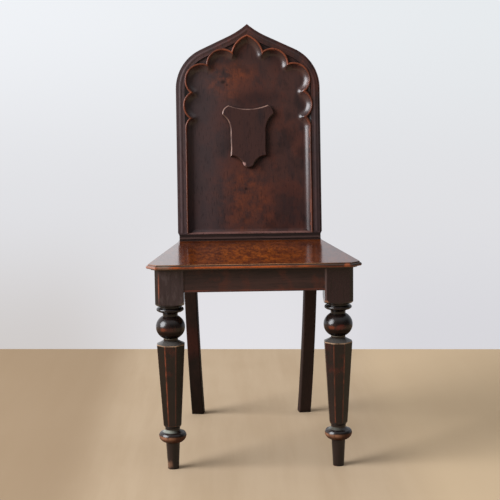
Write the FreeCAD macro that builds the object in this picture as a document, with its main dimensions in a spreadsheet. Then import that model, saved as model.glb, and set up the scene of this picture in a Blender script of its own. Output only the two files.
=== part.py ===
import FreeCAD, Part
import math
import os
import Sketcher

# A hall chair in the Gothic taste: a plank seat with a moulded edge on four legs,
# and a leaning back board with an ogee head, a foiled sunk field and a blank shield.
# Origin: on the floor, under the middle of the chair's box. +X right, -Y front, +Z up.
# Sizes are in millimetres and degrees. "Setback" is measured from the seat's front edge.

SIZES = (
    # seat
    ("seat_height", 435, "floor to the seat's top"),
    ("seat_thickness", 12, "seat plank"),
    ("seat_depth", 398, "front edge to rear edge"),
    ("seat_front_width", 437, "between the tips of the cut corners"),
    ("seat_rear_margin", 1, "how far the seat stands out beside the back board"),
    ("seat_corner_cut", 20, "length of the cut corners, along X and Y"),
    ("seat_quirk_height", 2.4, "thin step round the top of the edge"),
    ("seat_quirk_inset", 4, "how far that step stands in"),
    ("seat_bead_height", 7, "rounded nosing of the edge"),
    ("seat_under_inset", 9, "how far the lower fillet stands in"),
    # back board
    ("seat_tail_depth", 38, "board's face to the seat's rear edge"),
    ("back_rake_angle", 8.1, "lean of the board, degrees"),
    ("back_width", 329, "board"),
    ("back_height", 494, "seat to point, along the board"),
    ("back_thickness", 28, "board"),
    ("shoulder_radius", 98.6, "round of the shoulders"),
    ("shoulder_angle", 65.1, "turn of the shoulders, degrees"),
    ("crest_radius", 196, "hollow sweep up to the point"),
    ("crest_angle", 15.4, "turn of the hollow sweep, degrees"),
    ("foot_waist", 3.5, "how far each side of the foot is drawn in"),
    ("foot_waist_height", 18.5, "height of the drawn-in foot"),
    ("border_width", 20, "flat border round the board"),
    ("rim_width", 4.5, "outer member of the border"),
    ("rim_drop", 1.6, "how far the outer member lies below the face"),
    ("spandrel_depth", 4, "sunk corners behind the cusps"),
    ("spandrel_rise", 6, "lowest sunk corner's foot above the springing"),
    ("tracery_width", 5, "roll round the foiled field"),
    ("field_depth", 10.5, "sunk field"),
    ("field_cove", 9.5, "hollow round the field's floor"),
    ("field_foot", 17.6, "height of the field's lower edge"),
    # base moulding
    ("moulding_height", 15, "strip along the foot of the board"),
    ("moulding_reach", 6, "how far it stands out"),
    # shield
    ("shield_width", 119, "over the ears"),
    ("shield_height", 144, "peaks to point"),
    ("shield_foot", 164.7, "height of the shield's point above the seat"),
    ("shield_thickness", 9, "raised above the field's floor"),
    ("shield_bevel", 2.5, "bevel round its face"),
    # front legs
    ("front_leg_setback", 47, "to the front legs' middle"),
    ("front_leg_inset", 46.1, "tip of the seat to the leg's middle, across"),
    ("leg_block_width", 58.5, "square top of a front leg"),
    ("leg_block_height", 77, "square top of a front leg, up to the seat"),
    ("leg_block_chamfer", 8, "cut on the outer front corner"),
    ("pommel_rise", 10, "height of the turned shoulder under the block"),
    ("pommel_reach", 13, "reach of that shoulder from the turning"),
    ("peg_foot_width", 23, "foot of the peg"),
    ("peg_top_width", 29, "top of the peg"),
    ("peg_height", 57, "round peg under the bun"),
    ("bun_width", 57, "bun"),
    ("bun_height", 27, "bun"),
    ("ankle_width", 31, "neck above the bun"),
    ("ankle_height", 5, "neck above the bun"),
    ("octagon_foot_width", 36.5, "across flats"),
    ("octagon_top_width", 57.4, "across flats, before the shoulder is turned"),
    ("octagon_swell_height", 5, "turned swell under the octagon"),
    ("leg_shoulder_height", 8, "sloping shoulder on the octagon"),
    ("fillet_width", 30, "fillet under the ball"),
    ("fillet_height", 5, "fillet under the ball"),
    ("ball_width", 60, "ball"),
    ("ball_height", 46, "ball"),
    ("neck_width", 31, "neck over the ball"),
    ("neck_height", 5, "neck over the ball"),
    ("collar_width", 58, "ring under the block"),
    ("collar_height", 12.5, "hollow and ring under the block"),
    ("quirk_width", 44, "groove between ring and block"),
    ("quirk_height", 5, "groove between ring and block"),
    # rails
    ("rail_height", 47, "all four rails"),
    ("front_rail_thickness", 22, "front rail"),
    ("front_rail_step", 1.2, "front rail behind the faces of the blocks"),
    ("side_rail_thickness", 20, "side rails"),
    ("side_rail_offset", 11.6, "side rail's middle outside the front leg's middle"),
    ("rear_rail_thickness", 19, "rear rail"),
    ("tenon_thickness", 9, "rail tenons"),
    ("tenon_shoulder", 7, "rail above and below its tenon"),
    ("front_tenon_length", 20, "tenons in the front legs"),
    ("side_tenon_length", 11, "side rail tenons in the rear legs"),
    ("rear_tenon_length", 8, "rear rail tenons in the rear legs"),
    ("joint_clearance", 0.15, "round a tenon in its mortise"),
    # rear legs
    ("rear_leg_inset", 24.45, "side of the seat to the rear leg's middle, across"),
    ("rear_leg_margin", 2.8, "seat standing out behind the rear legs"),
    ("rear_leg_width", 28, "across"),
    ("rear_leg_top_depth", 22, "front to back at the rail"),
    ("rear_leg_foot_depth", 28, "front to back at the floor"),
    ("rear_leg_sweep", 87, "how far the foot is swept back"),
    ("rear_leg_radius", 1850, "bend of the sweep"),
    ("rear_leg_easing", 2, "eased long edges"),
    # corner braces, rubbed blocks and screws
    ("brace_thickness", 20, "height of a corner brace"),
    ("brace_width", 24, "across a corner brace"),
    ("front_brace_reach", 62, "along the front rail, from the leg block"),
    ("rear_brace_reach", 42, "along the rear rail, from the leg"),
    ("rubbed_block_side", 18, "legs of a rubbed block's triangle"),
    ("rubbed_block_length", 70, "rubbed block, midway between two braces"),
    ("screw_width", 4.5, "seat screws"),
    ("screw_head_width", 8.4, "seat screws"),
    ("screw_head_height", 2.6, "countersunk heads of the seat screws"),
    ("screw_bite", 8, "seat screw in the seat"),
    ("back_screw_width", 6, "long screws into the back board"),
    ("back_screw_head_width", 10.5, "long screws"),
    ("back_screw_head_height", 4, "heads of the long screws"),
    ("back_screw_sinking", 12, "depth of the hole that hides the head"),
    ("back_screw_bite", 32, "long screw in the board"),
    ("back_screw_spacing", 84, "between the long screws"),
    ("back_screw_lead", 2, "how far they stand before the rear rail's middle"),
    ("screw_clearance", 0.15, "round every screw"),
    ("overrun", 5, "how far every cut runs past its face"),
)

# Turned shapes as shares of their own zone: height, then radius over the zone's width.
BUN_BELLY_SHARE = 0.54
BUN_SHOULDER_SHARES = (0.77, 0.448)
BUN_TOP_HEIGHT_SHARE = 0.96
BUN_BELLY_BEND_SHARE = 0.27
BUN_SHOULDER_BEND_SHARE = 0.16
COLLAR_HOLLOW_SHARES = (0.36, 0.42)
COLLAR_EDGE_SHARES = (0.55, 0.478)
COLLAR_TOP_SHARES = (0.98, 0.44)
COLLAR_BEND_SHARE = 0.062
COLLAR_HOLLOW_BEND_SHARE = 0.15
BUN_DISH_BEND_SHARE = 0.35
OCTAGON_SWELL_SHARE = 0.97
POMMEL_START_SHARE = 0.97
WAIST_SHARE = 0.3
NOSING_ROUND_SHARE = 0.48
PEG_SWELL_SHARES = (0.45, 0.44)

# The foiled arch, all as shares of half the field's width: its rise from the springing to
# the point, then each foil's middle across, its middle above the springing and its radius.
ARCH_SHARE = 1.69
FOIL_SHARES = ((0.8215, 0, 0.1785), (0.7986, 0.3634, 0.2315), (0.7563, 0.7763, 0.2444),
               (0.409, 1.0237, 0.2344), (-0.1301, 1.1326, 0.3728))

# Half of the shield's outline from its point up to the top's middle: across as a share of
# half its width, up as a share of its height, then the bend of the side that follows as a
# share of its width, plus where it swells and minus where it is hollow.
SHIELD_SHARES = (
    (0, 0, 0.13),
    (0.218, 0.07, -0.24),
    (0.706, 0.19, -1.2),
    (0.685, 0.42, 0),
    (0.689, 0.618, -0.365),
    (1, 0.854, 0.17),
    (0.748, 1, -1.01),
    (0, 0.941, 0),
)

# Section of the base moulding: reach and height as shares, from its top to its foot.
MOULDING_SHARES = ((0.0, 1.0), (0.35, 0.93), (0.62, 0.72), (1.0, 0.62),
                   (1.0, 0.3), (0.62, 0.18), (0.62, 0.0), (0.0, 0.0))

EIGHTH_ANGLE = 22.5
FLAT = 1e-6

doc = FreeCAD.newDocument("hall_chair")
dim = doc.addObject("Spreadsheet::Sheet", "dim")
for row, (alias, amount, note) in enumerate(SIZES, start=1):
    dim.set(f"A{row}", note)
    dim.set(f"B{row}", str(amount))
    dim.setAlias(f"B{row}", alias)
doc.recompute()

chair = {}


# Helpers: sizes, sketches and features bound to the sheet

def amount_of(formula):
    """a formula of the sheet's sizes as a plain number"""
    return float(FreeCAD.Units.Quantity(str(ruler.evalExpression(str(formula)))).Value)


def bind(thing, **formulas):
    for name, formula in formulas.items():
        thing.setExpression(name, str(formula))


def place(thing, x="0", y="0", z="0", turn=None, axis=FreeCAD.Vector(0, 0, 1)):
    """bind a placement: a point, and a turn in degrees about one axis"""
    if turn is not None:
        angle = amount_of(turn)
        thing.Placement = FreeCAD.Placement(FreeCAD.Vector(), FreeCAD.Rotation(axis, angle))
        if angle < 0:
            axis, turn = axis.negative(), f"-({turn})"
            thing.Placement = FreeCAD.Placement(FreeCAD.Vector(), FreeCAD.Rotation(axis, -angle))
        thing.setExpression("Placement.Rotation.Angle", f"({turn}) * 1 deg")
    for key, formula in (("x", x), ("y", y), ("z", z)):
        thing.setExpression(f"Placement.Base.{key}", str(formula))


def new_body(name):
    body = doc.addObject("PartDesign::Body", name)
    doc.recompute()
    return body


def new_sketch(body, name, role, offset=None):
    """a sketch on one of the body's own planes, moved along the plane's normal"""
    plane = next(item for item in body.Origin.OriginFeatures if item.Role == role)
    sketch = body.newObject("Sketcher::SketchObject", name)
    sketch.AttachmentSupport = [(plane, "")]
    sketch.MapMode = "FlatFace"
    if offset is not None:
        sketch.setExpression("AttachmentOffset.Base.z", str(offset))
    doc.recompute()
    return sketch


def pin(sketch, side, end, x, y):
    """tie one end of a side to a point given by two formulas"""
    for kind, axis_line, formula in (("DistanceX", -2, x), ("DistanceY", -1, y)):
        if str(formula) == "0":
            sketch.addConstraint(Sketcher.Constraint("PointOnObject", side, end, axis_line))
        else:
            rule = Sketcher.Constraint(kind, -1, 1, side, end, amount_of(formula))
            index = sketch.addConstraint(rule)
            sketch.setExpression(f"Constraints[{index}]", str(formula))


def outline(sketch, corners):
    """closed outline through corners (x, y, bend), all formulas. The bend is the radius
    of the side that leaves the corner: plus bulges to the right of the walk, minus to the
    left, 0 is straight."""
    points = [FreeCAD.Vector(amount_of(c[0]), amount_of(c[1]), 0) for c in corners]
    starts = []
    ends = []
    for index, corner in enumerate(corners):
        here = points[index]
        there = points[(index + 1) % len(points)]
        bend = corner[2] if len(corner) > 2 else "0"
        if str(bend) == "0":
            side = sketch.addGeometry(Part.LineSegment(here, there), False)
            starts.append((side, 1))
            ends.append((side, 2))
            continue
        radius = amount_of(bend)
        chord = there - here
        half = chord.Length / 2
        left = FreeCAD.Vector(-chord.y, chord.x, 0).normalize()
        reach = math.sqrt(max(radius * radius - half * half, 0))
        middle = (here + there) * 0.5 + left * math.copysign(reach, radius)
        circle = Part.Circle(middle, FreeCAD.Vector(0, 0, 1), abs(radius))
        angle_here = math.atan2(here.y - middle.y, here.x - middle.x)
        angle_there = math.atan2(there.y - middle.y, there.x - middle.x)
        if radius > 0:
            side = sketch.addGeometry(Part.ArcOfCircle(circle, angle_here, angle_there), False)
            starts.append((side, 1))
            ends.append((side, 2))
        else:
            side = sketch.addGeometry(Part.ArcOfCircle(circle, angle_there, angle_here), False)
            starts.append((side, 2))
            ends.append((side, 1))
        rule = sketch.addConstraint(Sketcher.Constraint("Radius", side, abs(radius)))
        sketch.setExpression(f"Constraints[{rule}]", str(bend) if radius > 0 else f"-({bend})")
    for index, corner in enumerate(corners):
        following = (index + 1) % len(corners)
        sketch.addConstraint(Sketcher.Constraint("Coincident", *ends[index], *starts[following]))
        pin(sketch, *starts[index], corner[0], corner[1])
    doc.recompute()
    return sketch


def pad(body, name, sketch, length, reverse=False, midplane=False):
    feature = body.newObject("PartDesign::Pad", name)
    feature.Profile = sketch
    feature.Reversed = reverse
    feature.Midplane = midplane
    bind(feature, Length=length)
    doc.recompute()
    return feature


def pocket(body, name, sketch, length, reverse=False, midplane=False):
    """cut a sketch into the body, and make sure that it took something away"""
    before = body.Tip.Shape.Volume
    feature = body.newObject("PartDesign::Pocket", name)
    feature.Profile = sketch
    feature.Reversed = reverse
    feature.Midplane = midplane
    bind(feature, Length=length)
    doc.recompute()
    must_shrink(feature, before)
    return feature


def turned(body, name, sketch, cut=False):
    """revolve a sketch about its upright axis, as wood or as a cut"""
    before = body.Tip.Shape.Volume if cut else 0
    kind = "PartDesign::Groove" if cut else "PartDesign::Revolution"
    feature = body.newObject(kind, name)
    feature.Profile = sketch
    feature.ReferenceAxis = (sketch, ["V_Axis"])
    feature.Angle = 360
    doc.recompute()
    if cut:
        must_shrink(feature, before)
    return feature


def must_shrink(feature, before):
    if not feature.Shape.Volume < before:
        raise RuntimeError(f"{feature.Name} cuts nothing")


def edges_where(feature, wanted):
    """names of the feature's edges that pass a test"""
    return [f"Edge{n}" for n, edge in enumerate(feature.Shape.Edges, start=1) if wanted(edge)]


def dress(body, kind, name, edges, size_name, formula):
    """a fillet or chamfer on named edges of the body's last feature"""
    base = body.Tip
    feature = body.newObject(f"PartDesign::{kind}", name)
    feature.Base = (base, edges)
    bind(feature, **{size_name: formula})
    doc.recompute()
    body.Tip = feature
    return feature


def carve(base, name, tools):
    """take tool solids out of a piece"""
    doc.recompute()
    before = base.Shape.Volume
    fused = tools[0]
    if len(tools) > 1:
        fused = doc.addObject("Part::MultiFuse", f"{name}_tools")
        fused.Shapes = tools
    result = doc.addObject("Part::Cut", f"{name}_carved")
    result.Base = base
    result.Tool = fused
    doc.recompute()
    must_shrink(result, before)
    return result


def gather(name, solids):
    """several solids as one group"""
    group = doc.addObject("Part::Compound", name)
    group.Links = solids
    doc.recompute()
    return group


def keep(name, thing):
    thing.Label = name
    chair[name] = thing


ruler = new_body("ruler")

# Places shared by the pieces, each worked out once

places = doc.addObject("App::VarSet", "at")


def derive(name, formula):
    """a named place bound to the sheet's sizes; what it returns stands in formulas"""
    places.addProperty("App::PropertyFloat", name)
    places.setExpression(name, formula)
    doc.recompute()
    return f"at.{name}"


RAKE = "dim.back_rake_angle"
BLOCK_HALF = "(dim.leg_block_width / 2)"
SEAT_FOOT = derive("seat_foot", "dim.seat_height - dim.seat_thickness")
RAIL_FOOT = derive("rail_foot", f"{SEAT_FOOT} - dim.rail_height")
SEAT_REAR_WIDTH = derive("seat_rear_width", "dim.back_width + 2 * dim.seat_rear_margin")
FRONT_SPREAD = derive("front_spread", "dim.seat_front_width - 2 * dim.front_leg_inset")
SIDE_SPREAD = derive("side_spread", f"{FRONT_SPREAD} + 2 * dim.side_rail_offset")
REAR_SPREAD = derive("rear_spread", f"{SEAT_REAR_WIDTH} - 2 * dim.rear_leg_inset")
REAR_RUN = derive("rear_run", "dim.seat_depth - dim.front_leg_setback"
                  " - dim.rear_leg_margin - dim.rear_leg_top_depth")
ANGLE = derive("rail_angle", f"atan(({SIDE_SPREAD} - {REAR_SPREAD}) / 2 / {REAR_RUN}) / 1 deg")
STATION = derive("rear_station", f"{REAR_RUN} / cos({ANGLE})")
REAR_FOOT_STATION = derive("rear_foot_station",
                           f"{STATION} + dim.rear_leg_sweep + dim.rear_leg_foot_depth")
OVERALL_DEPTH = derive("overall_depth",
                       f"dim.front_leg_setback + {REAR_FOOT_STATION} * cos({ANGLE})"
                       f" + (dim.rear_leg_width / 2 - dim.rear_leg_easing) * sin({ANGLE})")
FRONT = derive("front", f"-{OVERALL_DEPTH} / 2")
LEG_LINE = derive("leg_line", f"{FRONT} + dim.front_leg_setback")
SEAT_REAR = derive("seat_rear", f"{FRONT} + dim.seat_depth")
BACK_LINE = derive("back_line", f"{SEAT_REAR} - dim.seat_tail_depth")
FRONT_RAIL_REAR = derive("front_rail_rear", f"{LEG_LINE} - {BLOCK_HALF} + dim.front_rail_step"
                         " + dim.front_rail_thickness")
REAR_RAIL_MIDDLE = derive("rear_rail_middle", f"{LEG_LINE} + {REAR_RUN}"
                          f" + dim.rear_leg_top_depth / 2 * cos({ANGLE})")
REAR_RAIL_FRONT = derive("rear_rail_front", f"{REAR_RAIL_MIDDLE} - dim.rear_rail_thickness / 2")
REAR_RAIL_REAR = derive("rear_rail_rear", f"{REAR_RAIL_MIDDLE} + dim.rear_rail_thickness / 2")
TENON_HEIGHT = "(dim.rail_height - 2 * dim.tenon_shoulder)"
TENON_FOOT = derive("tenon_foot", f"{RAIL_FOOT} + dim.tenon_shoulder")


def rail_inner_x(y, offset):
    """X of a line beside the right side rail's middle line, offset inwards, at a given Y"""
    return (f"({SIDE_SPREAD} / 2 - ({y} - {LEG_LINE}) * tan({ANGLE})"
            f" - ({offset}) / cos({ANGLE}))")


# Seat: one plank with cut front corners. Its edge has a thin step, a round nosing and a
# lower fillet, so the plank is three layers of one outline.

SEAT_TAPER = derive("seat_taper", f"atan((dim.seat_front_width - {SEAT_REAR_WIDTH}) / 2"
                    " / (dim.seat_depth - dim.seat_tail_depth - dim.seat_corner_cut)) / 1 deg")


def seat_outline(inset):
    """the seat seen from above, drawn in by an inset at the front and sides"""
    tip_y = f"({FRONT} + dim.seat_corner_cut)"
    tip_x = "dim.seat_front_width / 2"
    slide = (f"(({inset}) * (sqrt(2) - 1 / cos({SEAT_TAPER})) / (1 + tan({SEAT_TAPER})))")
    front_x = f"({tip_x} - dim.seat_corner_cut - ({inset}) * (sqrt(2) - 1))"
    side_x = f"({tip_x} + {slide} - ({inset}) * sqrt(2))"
    rear_x = f"({SEAT_REAR_WIDTH} / 2 - ({inset}))"
    right = ((front_x, f"{FRONT} + ({inset})"), (side_x, f"{tip_y} + {slide}"),
             (rear_x, BACK_LINE), (rear_x, SEAT_REAR))
    return list(right) + [(f"-({x})", y) for x, y in reversed(right)]


UNDER_HEIGHT = "(dim.seat_thickness - dim.seat_quirk_height - dim.seat_bead_height)"
seat = new_body("seat_plank")
nosing = new_sketch(seat, "nosing_outline", "XY_Plane", f"{SEAT_FOOT} + {UNDER_HEIGHT}")
outline(nosing, seat_outline("0"))
nosing_pad = pad(seat, "nosing", nosing, "dim.seat_bead_height")
rear_line = amount_of(SEAT_REAR)


def on_nosing(edge):
    """long level edges of the nosing, all but those of the rear end"""
    at = edge.BoundBox
    return at.ZLength < FLAT and at.YMin < rear_line - FLAT


nosing_edges = edges_where(nosing_pad, on_nosing)
dress(seat, "Fillet", "nosing_round", nosing_edges, "Radius",
      f"{NOSING_ROUND_SHARE} * dim.seat_bead_height")
under = new_sketch(seat, "under_outline", "XY_Plane", SEAT_FOOT)
outline(under, seat_outline("dim.seat_under_inset"))
pad(seat, "under_fillet", under, f"{UNDER_HEIGHT} + dim.seat_bead_height / 2")
top = new_sketch(seat, "top_outline", "XY_Plane",
                 "dim.seat_height - dim.seat_quirk_height - dim.seat_bead_height / 2")
outline(top, seat_outline("dim.seat_quirk_inset"))
pad(seat, "top_step", top, "dim.seat_quirk_height + dim.seat_bead_height / 2")
# Front legs: one piece each. The turning is a stack of zones, and the block's and the
# shaft's flat sides are left square to the chair.

BUN_FOOT = "dim.peg_height"
ANKLE_FOOT = f"({BUN_FOOT} + dim.bun_height)"
SWELL_FOOT = f"({ANKLE_FOOT} + dim.ankle_height)"
OCTAGON_FOOT = f"({SWELL_FOOT} + dim.octagon_swell_height)"
BLOCK_FOOT = derive("block_foot", f"{SEAT_FOOT} - dim.leg_block_height")
QUIRK_FOOT = f"({BLOCK_FOOT} - dim.quirk_height)"
COLLAR_FOOT = f"({QUIRK_FOOT} - dim.collar_height)"
NECK_FOOT = f"({COLLAR_FOOT} - dim.neck_height)"
BALL_FOOT = f"({NECK_FOOT} - dim.ball_height)"
OCTAGON_TOP = derive("octagon_top", f"{BALL_FOOT} - dim.fillet_height")


def turning_profile():
    """half of the turned leg in section, from the floor up and back down its axis"""
    def on_bun(shares):
        return f"{shares[1]} * dim.bun_width", f"{BUN_FOOT} + {shares[0]} * dim.bun_height"

    def on_collar(shares):
        return (f"{shares[1]} * dim.collar_width",
                f"{COLLAR_FOOT} + {shares[0]} * dim.collar_height")

    swell = "(dim.ball_width - (dim.neck_width + dim.fillet_width) / 2) / 2"
    ball_bend = f"((dim.ball_height / 2) ^ 2 + ({swell}) ^ 2) / (2 * {swell})"
    swell_top = f"{OCTAGON_SWELL_SHARE} * dim.octagon_foot_width / 2"
    return [
        ("0", "0"),
        ("dim.peg_foot_width / 2", "0"),
        (f"{PEG_SWELL_SHARES[1]} * dim.peg_top_width",
         f"{PEG_SWELL_SHARES[0]} * dim.peg_height"),
        ("dim.peg_top_width / 2", BUN_FOOT, f"{BUN_BELLY_BEND_SHARE} * dim.bun_width"),
        (*on_bun((BUN_BELLY_SHARE, 0.5)), f"{BUN_SHOULDER_BEND_SHARE} * dim.bun_width"),
        (*on_bun(BUN_SHOULDER_SHARES), f"-{BUN_DISH_BEND_SHARE} * dim.bun_width"),
        ("dim.ankle_width / 2", f"{BUN_FOOT} + {BUN_TOP_HEIGHT_SHARE} * dim.bun_height"),
        ("dim.ankle_width / 2", SWELL_FOOT, "dim.octagon_swell_height"),
        (swell_top, OCTAGON_FOOT),
        ("dim.ankle_width / 2", OCTAGON_FOOT),
        ("dim.ankle_width / 2", OCTAGON_TOP),
        ("dim.fillet_width / 2", OCTAGON_TOP),
        ("dim.fillet_width / 2", BALL_FOOT, ball_bend),
        ("dim.neck_width / 2", NECK_FOOT),
        ("dim.neck_width / 2", COLLAR_FOOT, f"-{COLLAR_HOLLOW_BEND_SHARE} * dim.collar_width"),
        on_collar(COLLAR_HOLLOW_SHARES),
        (*on_collar(COLLAR_EDGE_SHARES), f"{COLLAR_BEND_SHARE} * dim.collar_width"),
        on_collar(COLLAR_TOP_SHARES),
        ("dim.quirk_width / 2", QUIRK_FOOT),
        ("dim.quirk_width / 2", f"{BLOCK_FOOT} + dim.quirk_height"),
        ("0", f"{BLOCK_FOOT} + dim.quirk_height"),
    ]


def octagon(sketch, across):
    """a regular octagon with one flat to the front"""
    flat = f"({across}) / 2"
    half_side = f"({across}) / 2 * tan({EIGHTH_ANGLE})"
    quarter = [(flat, f"-({half_side})"), (flat, half_side),
               (half_side, flat), (f"-({half_side})", flat)]
    outline(sketch, quarter + [(f"-({x})", f"-({y})") for x, y in quarter])


def front_leg(side, name):
    """side is 1 for the right leg and -1 for the left one"""
    leg = new_body(f"{name}_turning")
    profile = new_sketch(leg, f"{name}_profile", "XZ_Plane")
    outline(profile, turning_profile())
    turned(leg, f"{name}_turned", profile)
    foot = new_sketch(leg, f"{name}_shaft_foot", "XY_Plane", OCTAGON_FOOT)
    octagon(foot, "dim.octagon_foot_width")
    head = new_sketch(leg, f"{name}_shaft_head", "XY_Plane", OCTAGON_TOP)
    octagon(head, "dim.octagon_top_width")
    shaft = leg.newObject("PartDesign::AdditiveLoft", f"{name}_shaft")
    shaft.Profile = foot
    shaft.Sections = [head]
    shaft.Ruled = True
    doc.recompute()
    slope = new_sketch(leg, f"{name}_shoulder_outline", "XZ_Plane")
    rim = f"dim.octagon_top_width / 2 / cos({EIGHTH_ANGLE})"
    outline(slope, [("dim.ankle_width / 2", OCTAGON_TOP),
                    (rim, f"{OCTAGON_TOP} - dim.leg_shoulder_height"),
                    (f"{rim} + dim.overrun", f"{OCTAGON_TOP} - dim.leg_shoulder_height"),
                    (f"{rim} + dim.overrun", f"{OCTAGON_TOP} + dim.fillet_height / 2"),
                    ("dim.ankle_width / 2", f"{OCTAGON_TOP} + dim.fillet_height / 2")])
    turned(leg, f"{name}_shoulder", slope, cut=True)
    square = new_sketch(leg, f"{name}_block_outline", "XY_Plane", BLOCK_FOOT)
    outline(square, [(f"-{BLOCK_HALF}", f"-{BLOCK_HALF}"), (BLOCK_HALF, f"-{BLOCK_HALF}"),
                     (BLOCK_HALF, BLOCK_HALF), (f"-{BLOCK_HALF}", BLOCK_HALF)])
    pad(leg, f"{name}_block", square, f"{SEAT_FOOT} - {BLOCK_FOOT}")
    pommel = new_sketch(leg, f"{name}_pommel_outline", "XZ_Plane")
    inner = f"{POMMEL_START_SHARE} * {BLOCK_HALF}"
    outer = f"{inner} + dim.pommel_reach"
    outline(pommel, [(inner, BLOCK_FOOT), (inner, f"{BLOCK_FOOT} - dim.quirk_height / 2"),
                     (outer, f"{BLOCK_FOOT} - dim.quirk_height / 2"),
                     (outer, f"{BLOCK_FOOT} + dim.pommel_rise")])
    turned(leg, f"{name}_pommel", pommel, cut=True)
    corner = FreeCAD.Vector(side * amount_of(BLOCK_HALF), -amount_of(BLOCK_HALF), 0)

    def on_corner(edge):
        at = edge.BoundBox
        upright = at.XLength < FLAT and at.YLength < FLAT
        return upright and math.hypot(at.XMin - corner.x, at.YMin - corner.y) < FLAT

    dress(leg, "Chamfer", f"{name}_cut_corner", edges_where(leg.Tip, on_corner),
          "Size", "dim.leg_block_chamfer")
    place(leg, x=f"{side} * {FRONT_SPREAD} / 2", y=LEG_LINE)
    return leg


# Rails: straight boards with a tenon at each end. Each mortise is the tenon's own outline
# with the joint clearance round it.

def prism(name, corners, foot, height):
    """an upright prism over an outline seen from above"""
    body = new_body(name)
    shape = new_sketch(body, f"{name}_outline", "XY_Plane", foot)
    outline(shape, corners)
    pad(body, f"{name}_solid", shape, height)
    return body


def along_rail(body, side):
    """lay a body along a side rail: its own Y runs back along the rail's middle line"""
    place(body, x=f"{side} * {SIDE_SPREAD} / 2", y=LEG_LINE, turn=f"{side} * {ANGLE}")


def rectangle(x_low, x_high, y_low, y_high):
    return [(x_low, y_low), (x_high, y_low), (x_high, y_high), (x_low, y_high)]


def add_tenon(body, name, corners):
    shape = new_sketch(body, f"{name}_outline", "XY_Plane", TENON_FOOT)
    outline(shape, corners)
    pad(body, f"{name}_solid", shape, TENON_HEIGHT)


def mortise(name, corners):
    return prism(name, corners, f"{TENON_FOOT} - dim.joint_clearance",
                 f"{TENON_HEIGHT} + 2 * dim.joint_clearance")


HALF_TENON = "dim.tenon_thickness / 2"
HALF_SLOT = f"({HALF_TENON} + dim.joint_clearance)"
BLOCK_INNER = f"({FRONT_SPREAD} / 2 - {BLOCK_HALF})"

front_rail = prism("front_rail_board",
                   rectangle(f"-{BLOCK_INNER}", BLOCK_INNER,
                             f"{FRONT_RAIL_REAR} - dim.front_rail_thickness", FRONT_RAIL_REAR),
                   RAIL_FOOT, "dim.rail_height")
FRONT_TENON_LINE = f"({FRONT_RAIL_REAR} - dim.front_rail_thickness / 2)"
FRONT_TENON_END = f"({BLOCK_INNER} + dim.front_tenon_length)"
add_tenon(front_rail, "front_rail_tenons",
          rectangle(f"-{FRONT_TENON_END}", FRONT_TENON_END,
                    f"{FRONT_TENON_LINE} - {HALF_TENON}", f"{FRONT_TENON_LINE} + {HALF_TENON}"))

REAR_SHOULDER = f"({rail_inner_x(REAR_RAIL_MIDDLE, 'dim.rear_leg_width / 2')})"
rear_ends = [rail_inner_x(y, "dim.rear_leg_width / 2") for y in (REAR_RAIL_FRONT, REAR_RAIL_REAR)]
rear_rail = prism("rear_rail_board",
                  [(f"-{rear_ends[0]}", REAR_RAIL_FRONT), (rear_ends[0], REAR_RAIL_FRONT),
                   (rear_ends[1], REAR_RAIL_REAR), (f"-{rear_ends[1]}", REAR_RAIL_REAR)],
                  RAIL_FOOT, "dim.rail_height")
REAR_TENON_END = f"({REAR_SHOULDER} + dim.rear_tenon_length)"
add_tenon(rear_rail, "rear_rail_tenons",
          rectangle(f"-{REAR_TENON_END}", REAR_TENON_END,
                    f"{REAR_RAIL_MIDDLE} - {HALF_TENON}", f"{REAR_RAIL_MIDDLE} + {HALF_TENON}"))


def side_shoulder(side, offset):
    """where the leg block's rear face crosses a line beside the side rail's middle"""
    return f"(({BLOCK_HALF} - {side} * ({offset}) * sin({ANGLE})) / cos({ANGLE}))"


def side_rail(side, name):
    half = "dim.side_rail_thickness / 2"
    rail = prism(f"{name}_board",
                 [(f"-{half}", side_shoulder(side, f"-{half}")), (half, side_shoulder(side, half)),
                  (half, STATION), (f"-{half}", STATION)],
                 RAIL_FOOT, "dim.rail_height")
    middle = side_shoulder(side, "0")
    add_tenon(rail, f"{name}_tenons",
              rectangle(f"-{HALF_TENON}", HALF_TENON, f"{middle} - dim.front_tenon_length",
                        f"{STATION} + dim.side_tenon_length"))
    along_rail(rail, side)
    return rail


# Rear legs: sawn to a sweep and turned in plan with the side rails.

def rear_leg(side, name):
    leg = new_body(f"{name}_sawn")
    shape = new_sketch(leg, f"{name}_outline", "YZ_Plane")
    foot_front = f"({STATION} + dim.rear_leg_sweep)"
    outline(shape, [
        (foot_front, "0"),
        (REAR_FOOT_STATION, "0", "-dim.rear_leg_radius"),
        (f"{STATION} + dim.rear_leg_top_depth", RAIL_FOOT),
        (f"{STATION} + dim.rear_leg_top_depth", SEAT_FOOT),
        (STATION, SEAT_FOOT),
        (STATION, RAIL_FOOT, "dim.rear_leg_radius"),
    ])
    solid = pad(leg, f"{name}_blank", shape, "dim.rear_leg_width", midplane=True)
    top = amount_of(RAIL_FOOT)

    def on_sweep(edge):
        at = edge.BoundBox
        return at.ZMin < FLAT and abs(at.ZMax - top) < FLAT and at.XLength < FLAT

    dress(leg, "Chamfer", f"{name}_eased", edges_where(solid, on_sweep), "Size",
          "dim.rear_leg_easing")
    along_rail(leg, side)
    return leg


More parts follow.
